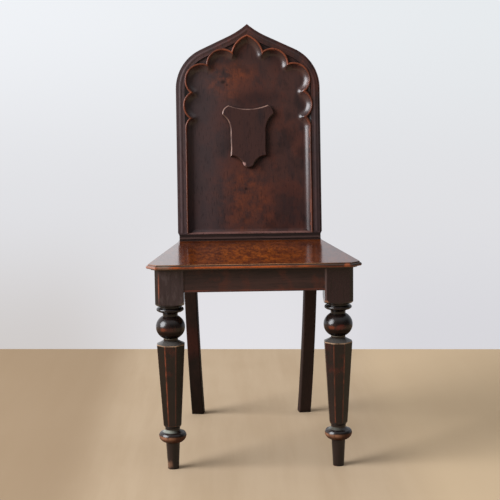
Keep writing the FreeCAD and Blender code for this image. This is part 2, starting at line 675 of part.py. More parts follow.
for side, hand in ((-1, "left"), (1, "right")):
    slot_x = [f"{side} * ({BLOCK_INNER} - dim.overrun)",
              f"{side} * ({FRONT_TENON_END} + dim.joint_clearance)"]
    front_slot = mortise(f"front_slot_{hand}",
                         rectangle(*sorted(slot_x, key=amount_of),
                                   f"{FRONT_TENON_LINE} - {HALF_SLOT}",
                                   f"{FRONT_TENON_LINE} + {HALF_SLOT}"))
    shoulder = side_shoulder(side, "0")
    side_slot = mortise(f"side_slot_{hand}",
                        rectangle(f"-{HALF_SLOT}", HALF_SLOT,
                                  f"{shoulder} - dim.front_tenon_length - dim.joint_clearance",
                                  f"{shoulder} + dim.overrun"))
    along_rail(side_slot, side)
    leg = front_leg(side, f"front_leg_{hand}")
    keep(f"front_leg_{hand}", carve(leg, f"front_leg_{hand}", [front_slot, side_slot]))

    keep(f"side_rail_{hand}", side_rail(side, f"side_rail_{hand}"))

    leg = rear_leg(side, f"rear_leg_{hand}")
    end_slot = mortise(f"end_slot_{hand}",
                       rectangle(f"-{HALF_SLOT}", HALF_SLOT, f"{STATION} - dim.overrun",
                                 f"{STATION} + dim.side_tenon_length"
                                 " + dim.joint_clearance"))
    along_rail(end_slot, side)
    slot_x = [f"{side} * ({REAR_SHOULDER} - dim.overrun)",
              f"{side} * ({REAR_TENON_END} + dim.joint_clearance)"]
    rear_slot = mortise(f"rear_slot_{hand}",
                        rectangle(*sorted(slot_x, key=amount_of),
                                  f"{REAR_RAIL_MIDDLE} - {HALF_SLOT}",
                                  f"{REAR_RAIL_MIDDLE} + {HALF_SLOT}"))
    keep(f"rear_leg_{hand}", carve(leg, f"rear_leg_{hand}", [end_slot, rear_slot]))

keep("front_rail", front_rail)

# Corner braces: a bar across each inner corner, glued to both rails and screwed to the seat.

BRACE_FOOT = f"({SEAT_FOOT} - dim.brace_thickness)"


def brace_corners(side, rail_line, rail_x, side_near):
    """four corners: two on the end rail, two on the side rail's inner face"""
    step = 1 if amount_of(side_near) > amount_of(rail_line) else -1
    side_far = f"({side_near} + {step} * dim.brace_width)"
    inner = "dim.side_rail_thickness / 2"
    return [(f"{side} * ({rail_x})", rail_line),
            (f"{side} * ({rail_x} + dim.brace_width)", rail_line),
            (f"{side} * {rail_inner_x(side_near, inner)}", side_near),
            (f"{side} * {rail_inner_x(side_far, inner)}", side_far)]


braces = {}
for side, hand in ((-1, "left"), (1, "right")):
    braces[f"corner_brace_front_{hand}"] = brace_corners(
        side, FRONT_RAIL_REAR, f"{BLOCK_INNER} - dim.front_brace_reach",
        f"({FRONT_RAIL_REAR} + dim.front_brace_reach)")
    braces[f"corner_brace_rear_{hand}"] = brace_corners(
        side, REAR_RAIL_FRONT, f"{rear_ends[0]} - dim.rear_brace_reach",
        f"({REAR_RAIL_FRONT} - dim.rear_brace_reach + dim.brace_width)")


# Screws: a countersunk one up through each brace, and long round-headed ones up through
# the rear rail and the seat into the foot of the back board.

BEARING = f"({RAIL_FOOT} + dim.back_screw_sinking)"


def screw_outline(grow=None):
    """half a countersunk screw in section, point up; or its hole, if it is to grow"""
    swell = f" + {grow}" if grow else ""
    head = f"dim.screw_head_width / 2{swell}"
    shank = f"dim.screw_width / 2{swell}"
    tip = f"dim.brace_thickness + dim.screw_bite{swell}"
    foot = [("0", "-dim.overrun"), (head, "-dim.overrun")] if grow else [("0", "0")]
    return foot + [(head, "0"), (shank, "dim.screw_head_height"), (shank, tip), ("0", tip)]


def long_screw_outline(grow=None):
    """half a round-headed screw in section, its head bearing at zero; or its hole"""
    swell = f" + {grow}" if grow else ""
    head = f"dim.back_screw_head_width / 2{swell}"
    shank = f"dim.back_screw_width / 2{swell}"
    foot = "-(dim.back_screw_sinking + dim.overrun)" if grow else "-dim.back_screw_head_height"
    tip = f"dim.seat_height + dim.back_screw_bite - {BEARING}{swell}"
    return [("0", foot), (head, foot), (head, "0"), (shank, "0"), (shank, tip), ("0", tip)]


def spindle(name, corners, x, y, z):
    """a body turned about an upright axis"""
    body = new_body(name)
    shape = new_sketch(body, f"{name}_outline", "XZ_Plane")
    outline(shape, corners)
    turned(body, f"{name}_solid", shape)
    place(body, x=x, y=y, z=z)
    return body


seat_screws = []
seat_holes = []
for name, corners in braces.items():
    x = f"({' + '.join(corner[0] for corner in corners)}) / {len(corners)}"
    y = f"({' + '.join(corner[1] for corner in corners)}) / {len(corners)}"
    seat_screws.append(spindle(f"{name}_screw", screw_outline(), x, y, BRACE_FOOT))
    hole = spindle(f"{name}_hole", screw_outline("dim.screw_clearance"), x, y, BRACE_FOOT)
    seat_holes.append(hole)
    bar = prism(f"{name}_bar", corners, BRACE_FOOT, "dim.brace_thickness")
    keep(name, carve(bar, name, [hole]))

BACK_SCREW_PLACES = (-1, 0, 1)
back_screws = []
back_holes = []
for index, step in enumerate(BACK_SCREW_PLACES, start=1):
    x = f"{step} * dim.back_screw_spacing"
    y = f"{REAR_RAIL_MIDDLE} - dim.back_screw_lead"
    back_screws.append(spindle(f"back_screw_{index}", long_screw_outline(), x, y, BEARING))
    back_holes.append(spindle(f"back_hole_{index}", long_screw_outline("dim.screw_clearance"),
                              x, y, BEARING))

keep("rear_rail", carve(rear_rail, "rear_rail", back_holes))
keep("seat_board", carve(seat, "seat_board", seat_holes + back_holes))
keep("seat_screws", gather("seat_screw_group", seat_screws))
keep("back_screws", gather("back_screw_group", back_screws))

# Rubbed blocks: a triangular block glued in the angle between the seat and each rail,
# midway between the braces.

rubbed = []


def rubbed_block(name, role, face, inward):
    """a triangle against a rail's face, on a plane across the rail's own length"""
    body = new_body(name)
    shape = new_sketch(body, f"{name}_outline", role)
    outline(shape, [(face, f"{SEAT_FOOT} - dim.rubbed_block_side"),
                    (f"{face} + {inward} * dim.rubbed_block_side", SEAT_FOOT),
                    (face, SEAT_FOOT)])
    pad(body, f"{name}_solid", shape, "dim.rubbed_block_length", midplane=True)
    rubbed.append(body)
    return body


rubbed_block("front_block", "YZ_Plane", FRONT_RAIL_REAR, 1)
rubbed_block("rear_block", "YZ_Plane", REAR_RAIL_FRONT, -1)
FREE_MIDDLE = (f"(({FRONT_RAIL_REAR} + dim.front_brace_reach + dim.brace_width"
               f" + {REAR_RAIL_FRONT} - dim.rear_brace_reach) / 2)")
for side, hand in ((-1, "left"), (1, "right")):
    body = rubbed_block(f"side_block_{hand}", "XZ_Plane",
                        f"-{side} * dim.side_rail_thickness / 2", -side)
    place(body, x=f"{side} * {rail_inner_x(FREE_MIDDLE, '0')}", y=FREE_MIDDLE,
          turn=f"{side} * {ANGLE}")
keep("rubbed_blocks", gather("rubbed_block_group", rubbed))

# Back board, in its own leaning frame: X across, Y back from the face, Z up the board.

HALF_BACK = "(dim.back_width / 2)"
CREST_LEAN = "(dim.shoulder_angle - dim.crest_angle)"
CREST_X = f"(dim.crest_radius * cos({CREST_LEAN}))"
CREST_Z = f"(dim.back_height + dim.crest_radius * sin({CREST_LEAN}))"
SHOULDER_X = f"({HALF_BACK} - dim.shoulder_radius)"
FLANK = (f"(({SHOULDER_X} + dim.shoulder_radius * cos(dim.shoulder_angle)"
         f" - {CREST_X} + dim.crest_radius * cos(dim.shoulder_angle)) / sin(dim.shoulder_angle))")
SHOULDER_Z = (f"({CREST_Z} - (dim.crest_radius + dim.shoulder_radius) * sin(dim.shoulder_angle)"
              f" - {FLANK} * cos(dim.shoulder_angle))")


def ogee(inset, foot):
    """right half of the board's outline, drawn in by an inset, from its foot to its point"""
    side_x = f"({HALF_BACK} - ({inset}))"
    round_in = f"(dim.shoulder_radius - ({inset}))"
    sweep_out = f"(dim.crest_radius + ({inset}))"
    top = f"{CREST_Z} - sqrt({sweep_out} ^ 2 - {CREST_X} ^ 2)"
    return [
        (side_x, foot),
        (side_x, SHOULDER_Z, round_in),
        (f"{SHOULDER_X} + {round_in} * cos(dim.shoulder_angle)",
         f"{SHOULDER_Z} + {round_in} * sin(dim.shoulder_angle)"),
        (f"{CREST_X} - {sweep_out} * cos(dim.shoulder_angle)",
         f"{CREST_Z} - {sweep_out} * sin(dim.shoulder_angle)", f"-{sweep_out}"),
        ("0", top),
    ]


def both_sides(right):
    """an outline from its right half, given from the foot to the top"""
    corners = [corner if len(corner) > 2 else (*corner, "0") for corner in right]
    last = len(corners) - 1
    on_middle = corners[last][0] == "0"
    stop = 0 if corners[0][0] == "0" else -1
    mirror = []
    for index in range(last - 1 if on_middle else last, stop, -1):
        x, z, _ = corners[index]
        mirror.append((f"-({x})", z, corners[index - 1][2] if index else "0"))
    if on_middle:
        corners[last] = (*corners[last][:2], corners[last - 1][2])
    return corners + mirror


def lean(body):
    place(body, y=BACK_LINE, z="dim.seat_height", turn=RAKE, axis=FreeCAD.Vector(-1, 0, 0))


board = new_body("board")
blank = new_sketch(board, "board_outline", "XZ_Plane")
waist = f"({HALF_BACK} - dim.foot_waist)"
outline(blank, both_sides(
    [(waist, "0"),
     (waist, f"{WAIST_SHARE} * dim.foot_waist_height", "-dim.foot_waist_height"),
     (HALF_BACK, "dim.foot_waist_height")] + ogee("0", "0")[1:]))
pad(board, "board_blank", blank, "dim.back_thickness", reverse=True)
wedge = new_sketch(board, "foot_wedge", "YZ_Plane")
past = "dim.overrun"
behind = f"(dim.back_thickness + {past})"
outline(wedge, [(f"-{past}", f"-{past} * tan({RAKE})"),
                (f"-{past}", f"-2 * {past}"), (behind, f"-2 * {past}"),
                (behind, f"{behind} * tan({RAKE})")])
pocket(board, "level_foot", wedge, f"dim.back_width + 2 * {past}", midplane=True)

# The border's outer member, stepped down from the face.
rim = new_sketch(board, "rim_ring", "XZ_Plane")
outline(rim, both_sides(ogee(f"-{past}", f"-2 * {past}")))
outline(rim, both_sides(ogee("dim.rim_width", f"-{past}")))
pocket(board, "rim", rim, "dim.rim_drop")

# The sunk corners: the space inside the border is lowered, then the tracery is added back.
HALF_FIELD = derive("half_field", f"{HALF_BACK} - dim.border_width - dim.tracery_width")
SPRINGING = derive("springing", f"dim.back_height - {ARCH_SHARE} * {HALF_FIELD}")
sunk = new_sketch(board, "sunk_corners", "XZ_Plane")
outline(sunk, both_sides(ogee("dim.border_width", f"{SPRINGING} + dim.spandrel_rise")))
pocket(board, "spandrels", sunk, "dim.spandrel_depth")


def cusp(first, second):
    """outer crossing of two circles given as x, z, radius"""
    across = second[0] - first[0]
    up = second[1] - first[1]
    gap = math.hypot(across, up)
    along = (gap ** 2 + first[2] ** 2 - second[2] ** 2) / (2 * gap)
    out = math.sqrt(first[2] ** 2 - along ** 2)
    return (first[0] + (across * along + up * out) / gap,
            first[1] + (up * along - across * out) / gap)


def foiled(sketch, grow, foot):
    """the field's outline: straight stiles, then arcs that meet in cusps. Each arc is held
    by its middle and radius, and the cusps fall where the circles cross."""
    edge_x = f"({HALF_FIELD} + ({grow}))"
    formulas = [(f"{across} * {HALF_FIELD}", f"{SPRINGING} + {up} * {HALF_FIELD}",
                 f"{radius} * {HALF_FIELD} + ({grow})") for across, up, radius in FOIL_SHARES]
    circles = [tuple(amount_of(part) for part in formula) for formula in formulas]
    crest = circles[-1]
    points = [(amount_of(edge_x), amount_of(SPRINGING))]
    points += [cusp(*pair) for pair in zip(circles, circles[1:])]
    points.append((0, crest[1] + math.sqrt(crest[2] ** 2 - crest[0] ** 2)))
    up = FreeCAD.Vector(0, 0, 1)
    arcs = []
    for index, (x, z, radius) in enumerate(circles):
        start, end = points[index], points[index + 1]
        angles = (math.atan2(start[1] - z, start[0] - x), math.atan2(end[1] - z, end[0] - x))
        arcs.append((index, 1, (x, z, radius), angles))
    for index, side, (x, z, radius), (low, high) in list(reversed(arcs)):
        arcs.append((index, -1, (-x, z, radius), (math.pi - high, math.pi - low)))
    sides = []
    for index, side, (x, z, radius), (low, high) in arcs:
        circle = Part.Circle(FreeCAD.Vector(x, z, 0), up, radius)
        arc = sketch.addGeometry(Part.ArcOfCircle(circle, low, high), False)
        sides.append(arc)
        rule = sketch.addConstraint(Sketcher.Constraint("Radius", arc, radius))
        sketch.setExpression(f"Constraints[{rule}]", formulas[index][2])
        rule = sketch.addConstraint(Sketcher.Constraint("DistanceY", -1, 1, arc, 3, z))
        sketch.setExpression(f"Constraints[{rule}]", formulas[index][1])
        if index:
            rule = sketch.addConstraint(Sketcher.Constraint("DistanceX", -1, 1, arc, 3, x))
            sketch.setExpression(f"Constraints[{rule}]", f"{side} * ({formulas[index][0]})")
    for first, second in zip(sides, sides[1:]):
        sketch.addConstraint(Sketcher.Constraint("Coincident", first, 2, second, 1))
    edge, spring, low = (amount_of(value) for value in (edge_x, SPRINGING, foot))
    walk = [(-edge, spring), (-edge, low), (edge, low), (edge, spring)]
    lines = []
    for here, there in zip(walk, walk[1:]):
        line = Part.LineSegment(FreeCAD.Vector(*here, 0), FreeCAD.Vector(*there, 0))
        lines.append(sketch.addGeometry(line, False))
    for first, second in zip(lines, lines[1:]):
        sketch.addConstraint(Sketcher.Constraint("Coincident", first, 2, second, 1))
    pin(sketch, lines[0], 1, f"-{edge_x}", SPRINGING)
    pin(sketch, lines[1], 1, f"-{edge_x}", foot)
    pin(sketch, lines[2], 1, edge_x, foot)
    pin(sketch, lines[2], 2, edge_x, SPRINGING)
    sketch.addConstraint(Sketcher.Constraint("Coincident", lines[2], 2, sides[0], 1))
    sketch.addConstraint(Sketcher.Constraint("Coincident", sides[-1], 2, lines[0], 1))
    doc.recompute()


tracery = new_sketch(board, "tracery_outline", "XZ_Plane")
foiled(tracery, "dim.tracery_width", f"{SPRINGING} - {FOIL_SHARES[0][2]} * {HALF_FIELD}")
pad(board, "tracery", tracery, "dim.spandrel_depth", reverse=True)
field = new_sketch(board, "field_outline", "XZ_Plane")
foiled(field, "0", "dim.field_foot")
field_cut = pocket(board, "field", field, "dim.field_depth")
floor = amount_of("dim.field_depth")


def on_floor(edge):
    at = edge.BoundBox
    return abs(at.YMin - floor) < FLAT and abs(at.YMax - floor) < FLAT


dress(board, "Fillet", "field_hollow", edges_where(field_cut, on_floor), "Radius",
      "dim.field_cove")
lean(board)
keep("back_board", carve(board, "back_board", back_holes))

# Base moulding: a strip glued along the foot of the board, its underside on the seat.

strip = new_body("strip")
section = new_sketch(strip, "strip_section", "YZ_Plane")
corners = []
for reach, height in MOULDING_SHARES:
    out = f"{reach} * dim.moulding_reach"
    corners.append((f"-{out}" if reach else "0",
                    f"{height} * dim.moulding_height - {out} * tan({RAKE})"
                    if reach or height else "0"))
outline(section, corners)
pad(strip, "strip_solid", section, f"2 * {waist}", midplane=True)
lean(strip)
keep("base_moulding", strip)

# Shield: a carved tablet glued to the field's floor, its face bevelled.

tablet = new_body("tablet")
face = new_sketch(tablet, "shield_outline", "XZ_Plane", "-dim.field_depth")
outline(face, both_sides(
    [(f"{across} * dim.shield_width / 2" if across else "0",
      f"dim.shield_foot + {up} * dim.shield_height",
      f"{bend} * dim.shield_width" if bend else "0")
     for across, up, bend in SHIELD_SHARES]))
tablet_pad = pad(tablet, "shield_solid", face, "dim.shield_thickness")
front_face = amount_of("dim.field_depth - dim.shield_thickness")


def on_face(edge):
    at = edge.BoundBox
    return abs(at.YMin - front_face) < FLAT and abs(at.YMax - front_face) < FLAT


dress(tablet, "Chamfer", "shield_bevel", edges_where(tablet_pad, on_face), "Size",
      "dim.shield_bevel")
lean(tablet)
keep("shield", tablet)

# Check every object, then write one file for each piece.

doc.recompute()
for item in doc.Objects:
    if "Invalid" in item.State or "Error" in item.State:
        raise RuntimeError(f"{item.Name} failed: {item.State}")
os.makedirs("parts", exist_ok=True)
for name, piece in chair.items():
    shape = piece.Shape
    if shape.isNull() or not shape.isValid():
        raise RuntimeError(f"{name} has no valid shape")
    shape.exportStep(f"parts/{name}.step")
    print(name, len(shape.Solids), round(shape.Volume), shape.BoundBox)
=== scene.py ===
import math

import bmesh
import bpy
from mathutils import Matrix, Vector


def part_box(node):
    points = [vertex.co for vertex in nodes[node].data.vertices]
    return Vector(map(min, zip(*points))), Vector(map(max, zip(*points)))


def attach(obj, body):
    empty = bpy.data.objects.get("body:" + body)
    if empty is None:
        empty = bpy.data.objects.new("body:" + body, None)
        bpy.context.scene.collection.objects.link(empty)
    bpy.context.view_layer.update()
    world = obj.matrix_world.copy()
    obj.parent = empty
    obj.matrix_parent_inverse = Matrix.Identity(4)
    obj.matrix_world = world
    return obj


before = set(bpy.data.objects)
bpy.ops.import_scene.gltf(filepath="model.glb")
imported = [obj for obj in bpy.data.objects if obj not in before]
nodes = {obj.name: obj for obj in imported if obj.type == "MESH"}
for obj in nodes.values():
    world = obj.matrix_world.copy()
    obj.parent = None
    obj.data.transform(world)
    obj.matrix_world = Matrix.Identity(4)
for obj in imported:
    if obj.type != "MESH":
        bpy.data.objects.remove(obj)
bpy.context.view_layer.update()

# Front legs: each is one post of close-grained wood, its block left square, its shaft planed
# to eight sides and its ball, collar and bun turned. Stained almost black and french polished,
# with the colour rubbed through to orange on the arrises and on the lower half of the turnings.
# Painted highlights, sheen and shade on the turnings, flats and blocks stand in for the light.

LEG_X = 0.1724
LEG_Y = -0.1974
BUN_FOOT, BUN_BELLY, BUN_TOP = 0.057, 0.0715, 0.084
SHAFT_FOOT, SHAFT_RIM, SHAFT_TOP = 0.096, 0.2645, 0.2725
BALL_FOOT, BALL_BELLY = 0.2775, 0.2985
BLOCK_FOOT, BLOCK_TOP = 0.35, 0.43
BLOCK_FACE = -0.0285
CHAMFER_X, INNER_X = 0.1937, 0.1431
EIGHTH = math.pi / 4
BALL_RED = (0.004, 0.2985), (0.014, 0.0055)
BALL_ORANGE = (-0.0145, 0.2985), (0.007, 0.0042)
FOOT_RUB = (-0.009, 0.009), (0.007, 0.01)
NICK = (INNER_X + 0.003, 0, BLOCK_FOOT + 0.001), (0.004, 0, 0.004)


def put(tree, kind, inputs=None, **settings):
    """one shader node: settings are its properties, inputs are values or other sockets"""
    node = tree.nodes.new(kind)
    for name, value in settings.items():
        setattr(node, name, value)
    for name, value in (inputs or {}).items():
        if isinstance(value, bpy.types.NodeSocket):
            tree.links.new(value, node.inputs[name])
        else:
            node.inputs[name].default_value = value
    return node


def shader_group(name, inputs, outputs):
    """an empty shader node group with named sockets, and its two ends"""
    tree = bpy.data.node_groups.new(name, "ShaderNodeTree")
    for label, kind, value in inputs:
        socket = tree.interface.new_socket(label, in_out="INPUT", socket_type=kind)
        if value is not None:
            socket.default_value = value
    for label in outputs:
        tree.interface.new_socket(label, in_out="OUTPUT", socket_type="NodeSocketFloat")
    return tree, put(tree, "NodeGroupInput").outputs, put(tree, "NodeGroupOutput").inputs


def reckon(tree, operation, *values):
    """a sum on numbers or sockets"""
    inputs = dict(enumerate(values))
    return put(tree, "ShaderNodeMath", inputs, operation=operation).outputs[0]


def times(tree, product, *others):
    """numbers or sockets multiplied together"""
    for value in others:
        product = reckon(tree, "MULTIPLY", product, value)
    return product


def scaled(tree, value, gain, base):
    """a value times a gain, plus a base"""
    return reckon(tree, "MULTIPLY_ADD", value, gain, base)


def axes(tree, place):
    """the X, Y and Z of a place or a direction"""
    return put(tree, "ShaderNodeSeparateXYZ", {0: place}).outputs


def facing(tree):
    """the X, Y and Z of the way that the surface faces"""
    return axes(tree, put(tree, "ShaderNodeNewGeometry").outputs["Normal"])


def ramp(tree, value, low, high):
    """0 to 1, eased, as a value goes from low to high"""
    node = put(tree, "ShaderNodeMapRange", {"Value": value, "From Min": low, "From Max": high},
               interpolation_type="SMOOTHSTEP")
    return node.outputs["Result"]


def speckle(tree, place, scale, detail=4, roughness=0.6, stretch=None):
    """a noise value, drawn out along an axis if asked"""
    if stretch:
        place = put(tree, "ShaderNodeMapping", {0: place, "Scale": stretch}).outputs[0]
    return put(tree, "ShaderNodeTexNoise", {0: place, "Scale": scale, "Detail": detail,
                                            "Roughness": roughness}).outputs[0]


def tint(tree, factor, below, above):
    """one colour over another by a factor"""
    node = put(tree, "ShaderNodeMix", {0: factor}, data_type="RGBA")
    for socket, value in ((node.inputs[6], below), (node.inputs[7], above)):
        if isinstance(value, bpy.types.NodeSocket):
            tree.links.new(value, socket)
        else:
            socket.default_value = (*value, 1)
    return node.outputs[2]


def stain(tree, tone, colour, *factors):
    """a colour laid over a tone, as strong as the product of the factors"""
    return tint(tree, times(tree, *factors), tone, colour)


wood_figure, along, figure = shader_group(
    "wood figure", [("Along grain", "NodeSocketVector", None)], ["Figure", "Pores", "Clouds"])
wobble = speckle(wood_figure, along[0], 9, 3, 0.5, (1, 1, 0.12))
streaks = speckle(wood_figure, along[0], 60, 6, 0.62, (1, 1, 0.1))
mixed = scaled(wood_figure, wobble, 0.5, times(wood_figure, streaks, 0.5))
wood_figure.links.new(ramp(wood_figure, mixed, 0.38, 0.62), figure[0])
pores = speckle(wood_figure, along[0], 430, 2, 0.5, (1, 1, 0.05))
wood_figure.links.new(ramp(wood_figure, pores, 0.56, 0.72), figure[1])
clouds = speckle(wood_figure, along[0], 13, 5, 0.6, (1, 1, 0.45))
wood_figure.links.new(ramp(wood_figure, clouds, 0.4, 0.66), figure[2])

wear_and_hollow_shade, handled, marks = shader_group(
    "wear_and_hollow_shade", [("Place", "NodeSocketVector", None), ("Wear width", "NodeSocketFloat", 0.003),
                 ("Wear start", "NodeSocketFloat", 0.1)], ["Worn", "Dirt and painted shade"])
inward = put(wear_and_hollow_shade, "ShaderNodeAmbientOcclusion", {"Distance": handled[1]}, samples=8,
             inside=True, only_local=True)
# occlusion outside the surface darkens hollows and crevices: partly dirt, partly painted shade
outward = put(wear_and_hollow_shade, "ShaderNodeAmbientOcclusion", {"Distance": 0.012}, samples=8)
edge = reckon(wear_and_hollow_shade, "SUBTRACT", 1.0, inward.outputs["AO"])
edge = times(wear_and_hollow_shade, edge,
             ramp(wear_and_hollow_shade, speckle(wear_and_hollow_shade, handled[0], 38, 5, 0.7), 0.36, 0.62))
edge = reckon(wear_and_hollow_shade, "SUBTRACT", edge, handled[2])
wear_and_hollow_shade.links.new(ramp(wear_and_hollow_shade, edge, 0.0, 0.22), marks[0])
wear_and_hollow_shade.links.new(ramp(wear_and_hollow_shade, reckon(wear_and_hollow_shade, "SUBTRACT", 1.0, outward.outputs["AO"]),
                        0.1, 0.75), marks[1])

band, span, inside = shader_group(
    "band", [("Value", "NodeSocketFloat", 0.0), ("Low", "NodeSocketFloat", 0.0),
             ("High", "NodeSocketFloat", 1.0), ("Soft", "NodeSocketFloat", 0.001)], ["Mask"])
rising = reckon(band, "DIVIDE", reckon(band, "SUBTRACT", span[0], span[1]), span[3])
falling = reckon(band, "DIVIDE", reckon(band, "SUBTRACT", span[2], span[0]), span[3])
band.links.new(ramp(band, reckon(band, "MINIMUM", rising, falling), -0.5, 0.5), inside[0])


def between(tree, value, low, high, soft=0.001):
    """1 where a value lies between two limits"""
    node = put(tree, "ShaderNodeGroup", node_tree=band)
    tree.links.new(value, node.inputs[0])
    for name, amount in (("Low", low), ("High", high), ("Soft", soft)):
        node.inputs[name].default_value = amount
    return node.outputs[0]


def stained_wood(name, dark, warm, worn, grain="Z", gloss=0.3, wear=0.003, start=0.1,
                 coat=0.5, film=0.25, sheen=0.5, relief=0.25, rubbed=None):
    """polished wood: dark and warm are the stain's two tones, worn is the colour under it,
    grain the axis that the fibres follow, gloss and film the roughness of the wood and of the
    polish on it, wear how far a rubbed edge reaches and start how much of one stays dark, and
    rubbed adds what is particular to one piece"""
    material = bpy.data.materials.new(name)
    material.use_nodes = True
    tree = material.node_tree
    surface = tree.nodes["Principled BSDF"]
    place = put(tree, "ShaderNodeTexCoord").outputs["Object"]
    turn = {"X": (0, math.pi / 2, 0), "Y": (math.pi / 2, 0, 0), "Z": (0, 0, 0)}[grain]
    fibres = put(tree, "ShaderNodeMapping", {0: place, "Rotation": turn}).outputs[0]
    wood = put(tree, "ShaderNodeGroup", node_tree=wood_figure)
    tree.links.new(fibres, wood.inputs[0])
    wear_and_shade = put(tree, "ShaderNodeGroup", node_tree=wear_and_hollow_shade)
    tree.links.new(place, wear_and_shade.inputs[0])
    wear_and_shade.inputs["Wear width"].default_value = wear
    wear_and_shade.inputs["Wear start"].default_value = start
    deep = tuple(0.3 * part for part in dark)
    clouds = times(tree, wood.outputs["Clouds"], 0.6)
    tone = tint(tree, reckon(tree, "MAXIMUM", wood.outputs["Figure"], clouds), dark, warm)
    rough = scaled(tree, wood.outputs["Clouds"], 0.1, gloss)
    film_weight = None
    # some pieces' own functions paint light and shade as well as wear, as their names say
    if rubbed:
        tone, rough, film_weight = rubbed(tree, place, tone, rough)
    tone = stain(tree, tone, deep, wood.outputs["Pores"], 0.4)
    # darkened in hollows and crevices by occlusion: partly dirt, partly painted shade
    tone = stain(tree, tone, deep, wear_and_shade.outputs["Dirt and painted shade"], 0.8)
    tone = stain(tree, tone, worn, wear_and_shade.outputs["Worn"])
    tree.links.new(tone, surface.inputs["Base Color"])
    rough = scaled(tree, wear_and_shade.outputs["Dirt and painted shade"], 0.25, rough)
    tree.links.new(rough, surface.inputs["Roughness"])
    if film_weight:
        tree.links.new(times(tree, film_weight, coat), surface.inputs["Coat Weight"])
    else:
        surface.inputs["Coat Weight"].default_value = coat
    surface.inputs["Coat Roughness"].default_value = film
    surface.inputs["Specular IOR Level"].default_value = sheen
    height = reckon(tree, "SUBTRACT", wood.outputs["Figure"], wood.outputs["Pores"])
    bump = put(tree, "ShaderNodeBump", {"Strength": relief, "Distance": 0.0005,
                                        "Height": height})
    tree.links.new(bump.outputs[0], surface.inputs["Normal"])
    return material


def finish_nodes(material, *names):
    """give the joiner's pieces their finish"""
    for name in names:
        nodes[name].data.materials.clear()
        nodes[name].data.materials.append(material)


def hypotenuse(tree, across, along):
    """the length of a slant from its two measures"""
    return reckon(tree, "SQRT", scaled(tree, across, across, times(tree, along, along)))


def faded(tree, place, middle, reach, soft):
    """a soft-edged patch round a place, ragged with noise"""
    scale = tuple(1 / part if part else 0 for part in reach)
    start = tuple(-at * size for at, size in zip(middle, scale))
    away = put(tree, "ShaderNodeMapping", {0: place, "Location": start, "Scale": scale})
    distance = put(tree, "ShaderNodeVectorMath", {0: away.outputs[0]}, operation="LENGTH")
    ragged = scaled(tree, speckle(tree, place, 34, 5, 0.65), 1.6, -0.8)
    distance = reckon(tree, "ADD", distance.outputs["Value"], ragged)
    return ramp(tree, distance, 1 + soft, 1 - soft)


def patch(tree, across, up, middle, reach, ragged):
    """a small ragged mark round a place, on two measures"""
    away = [scaled(tree, value, 1 / size, -at / size)
            for value, at, size in zip((across, up), middle, reach)]
    distance = hypotenuse(tree, *away)
    return ramp(tree, scaled(tree, ragged, -0.5, distance), 1.1, 0.2)


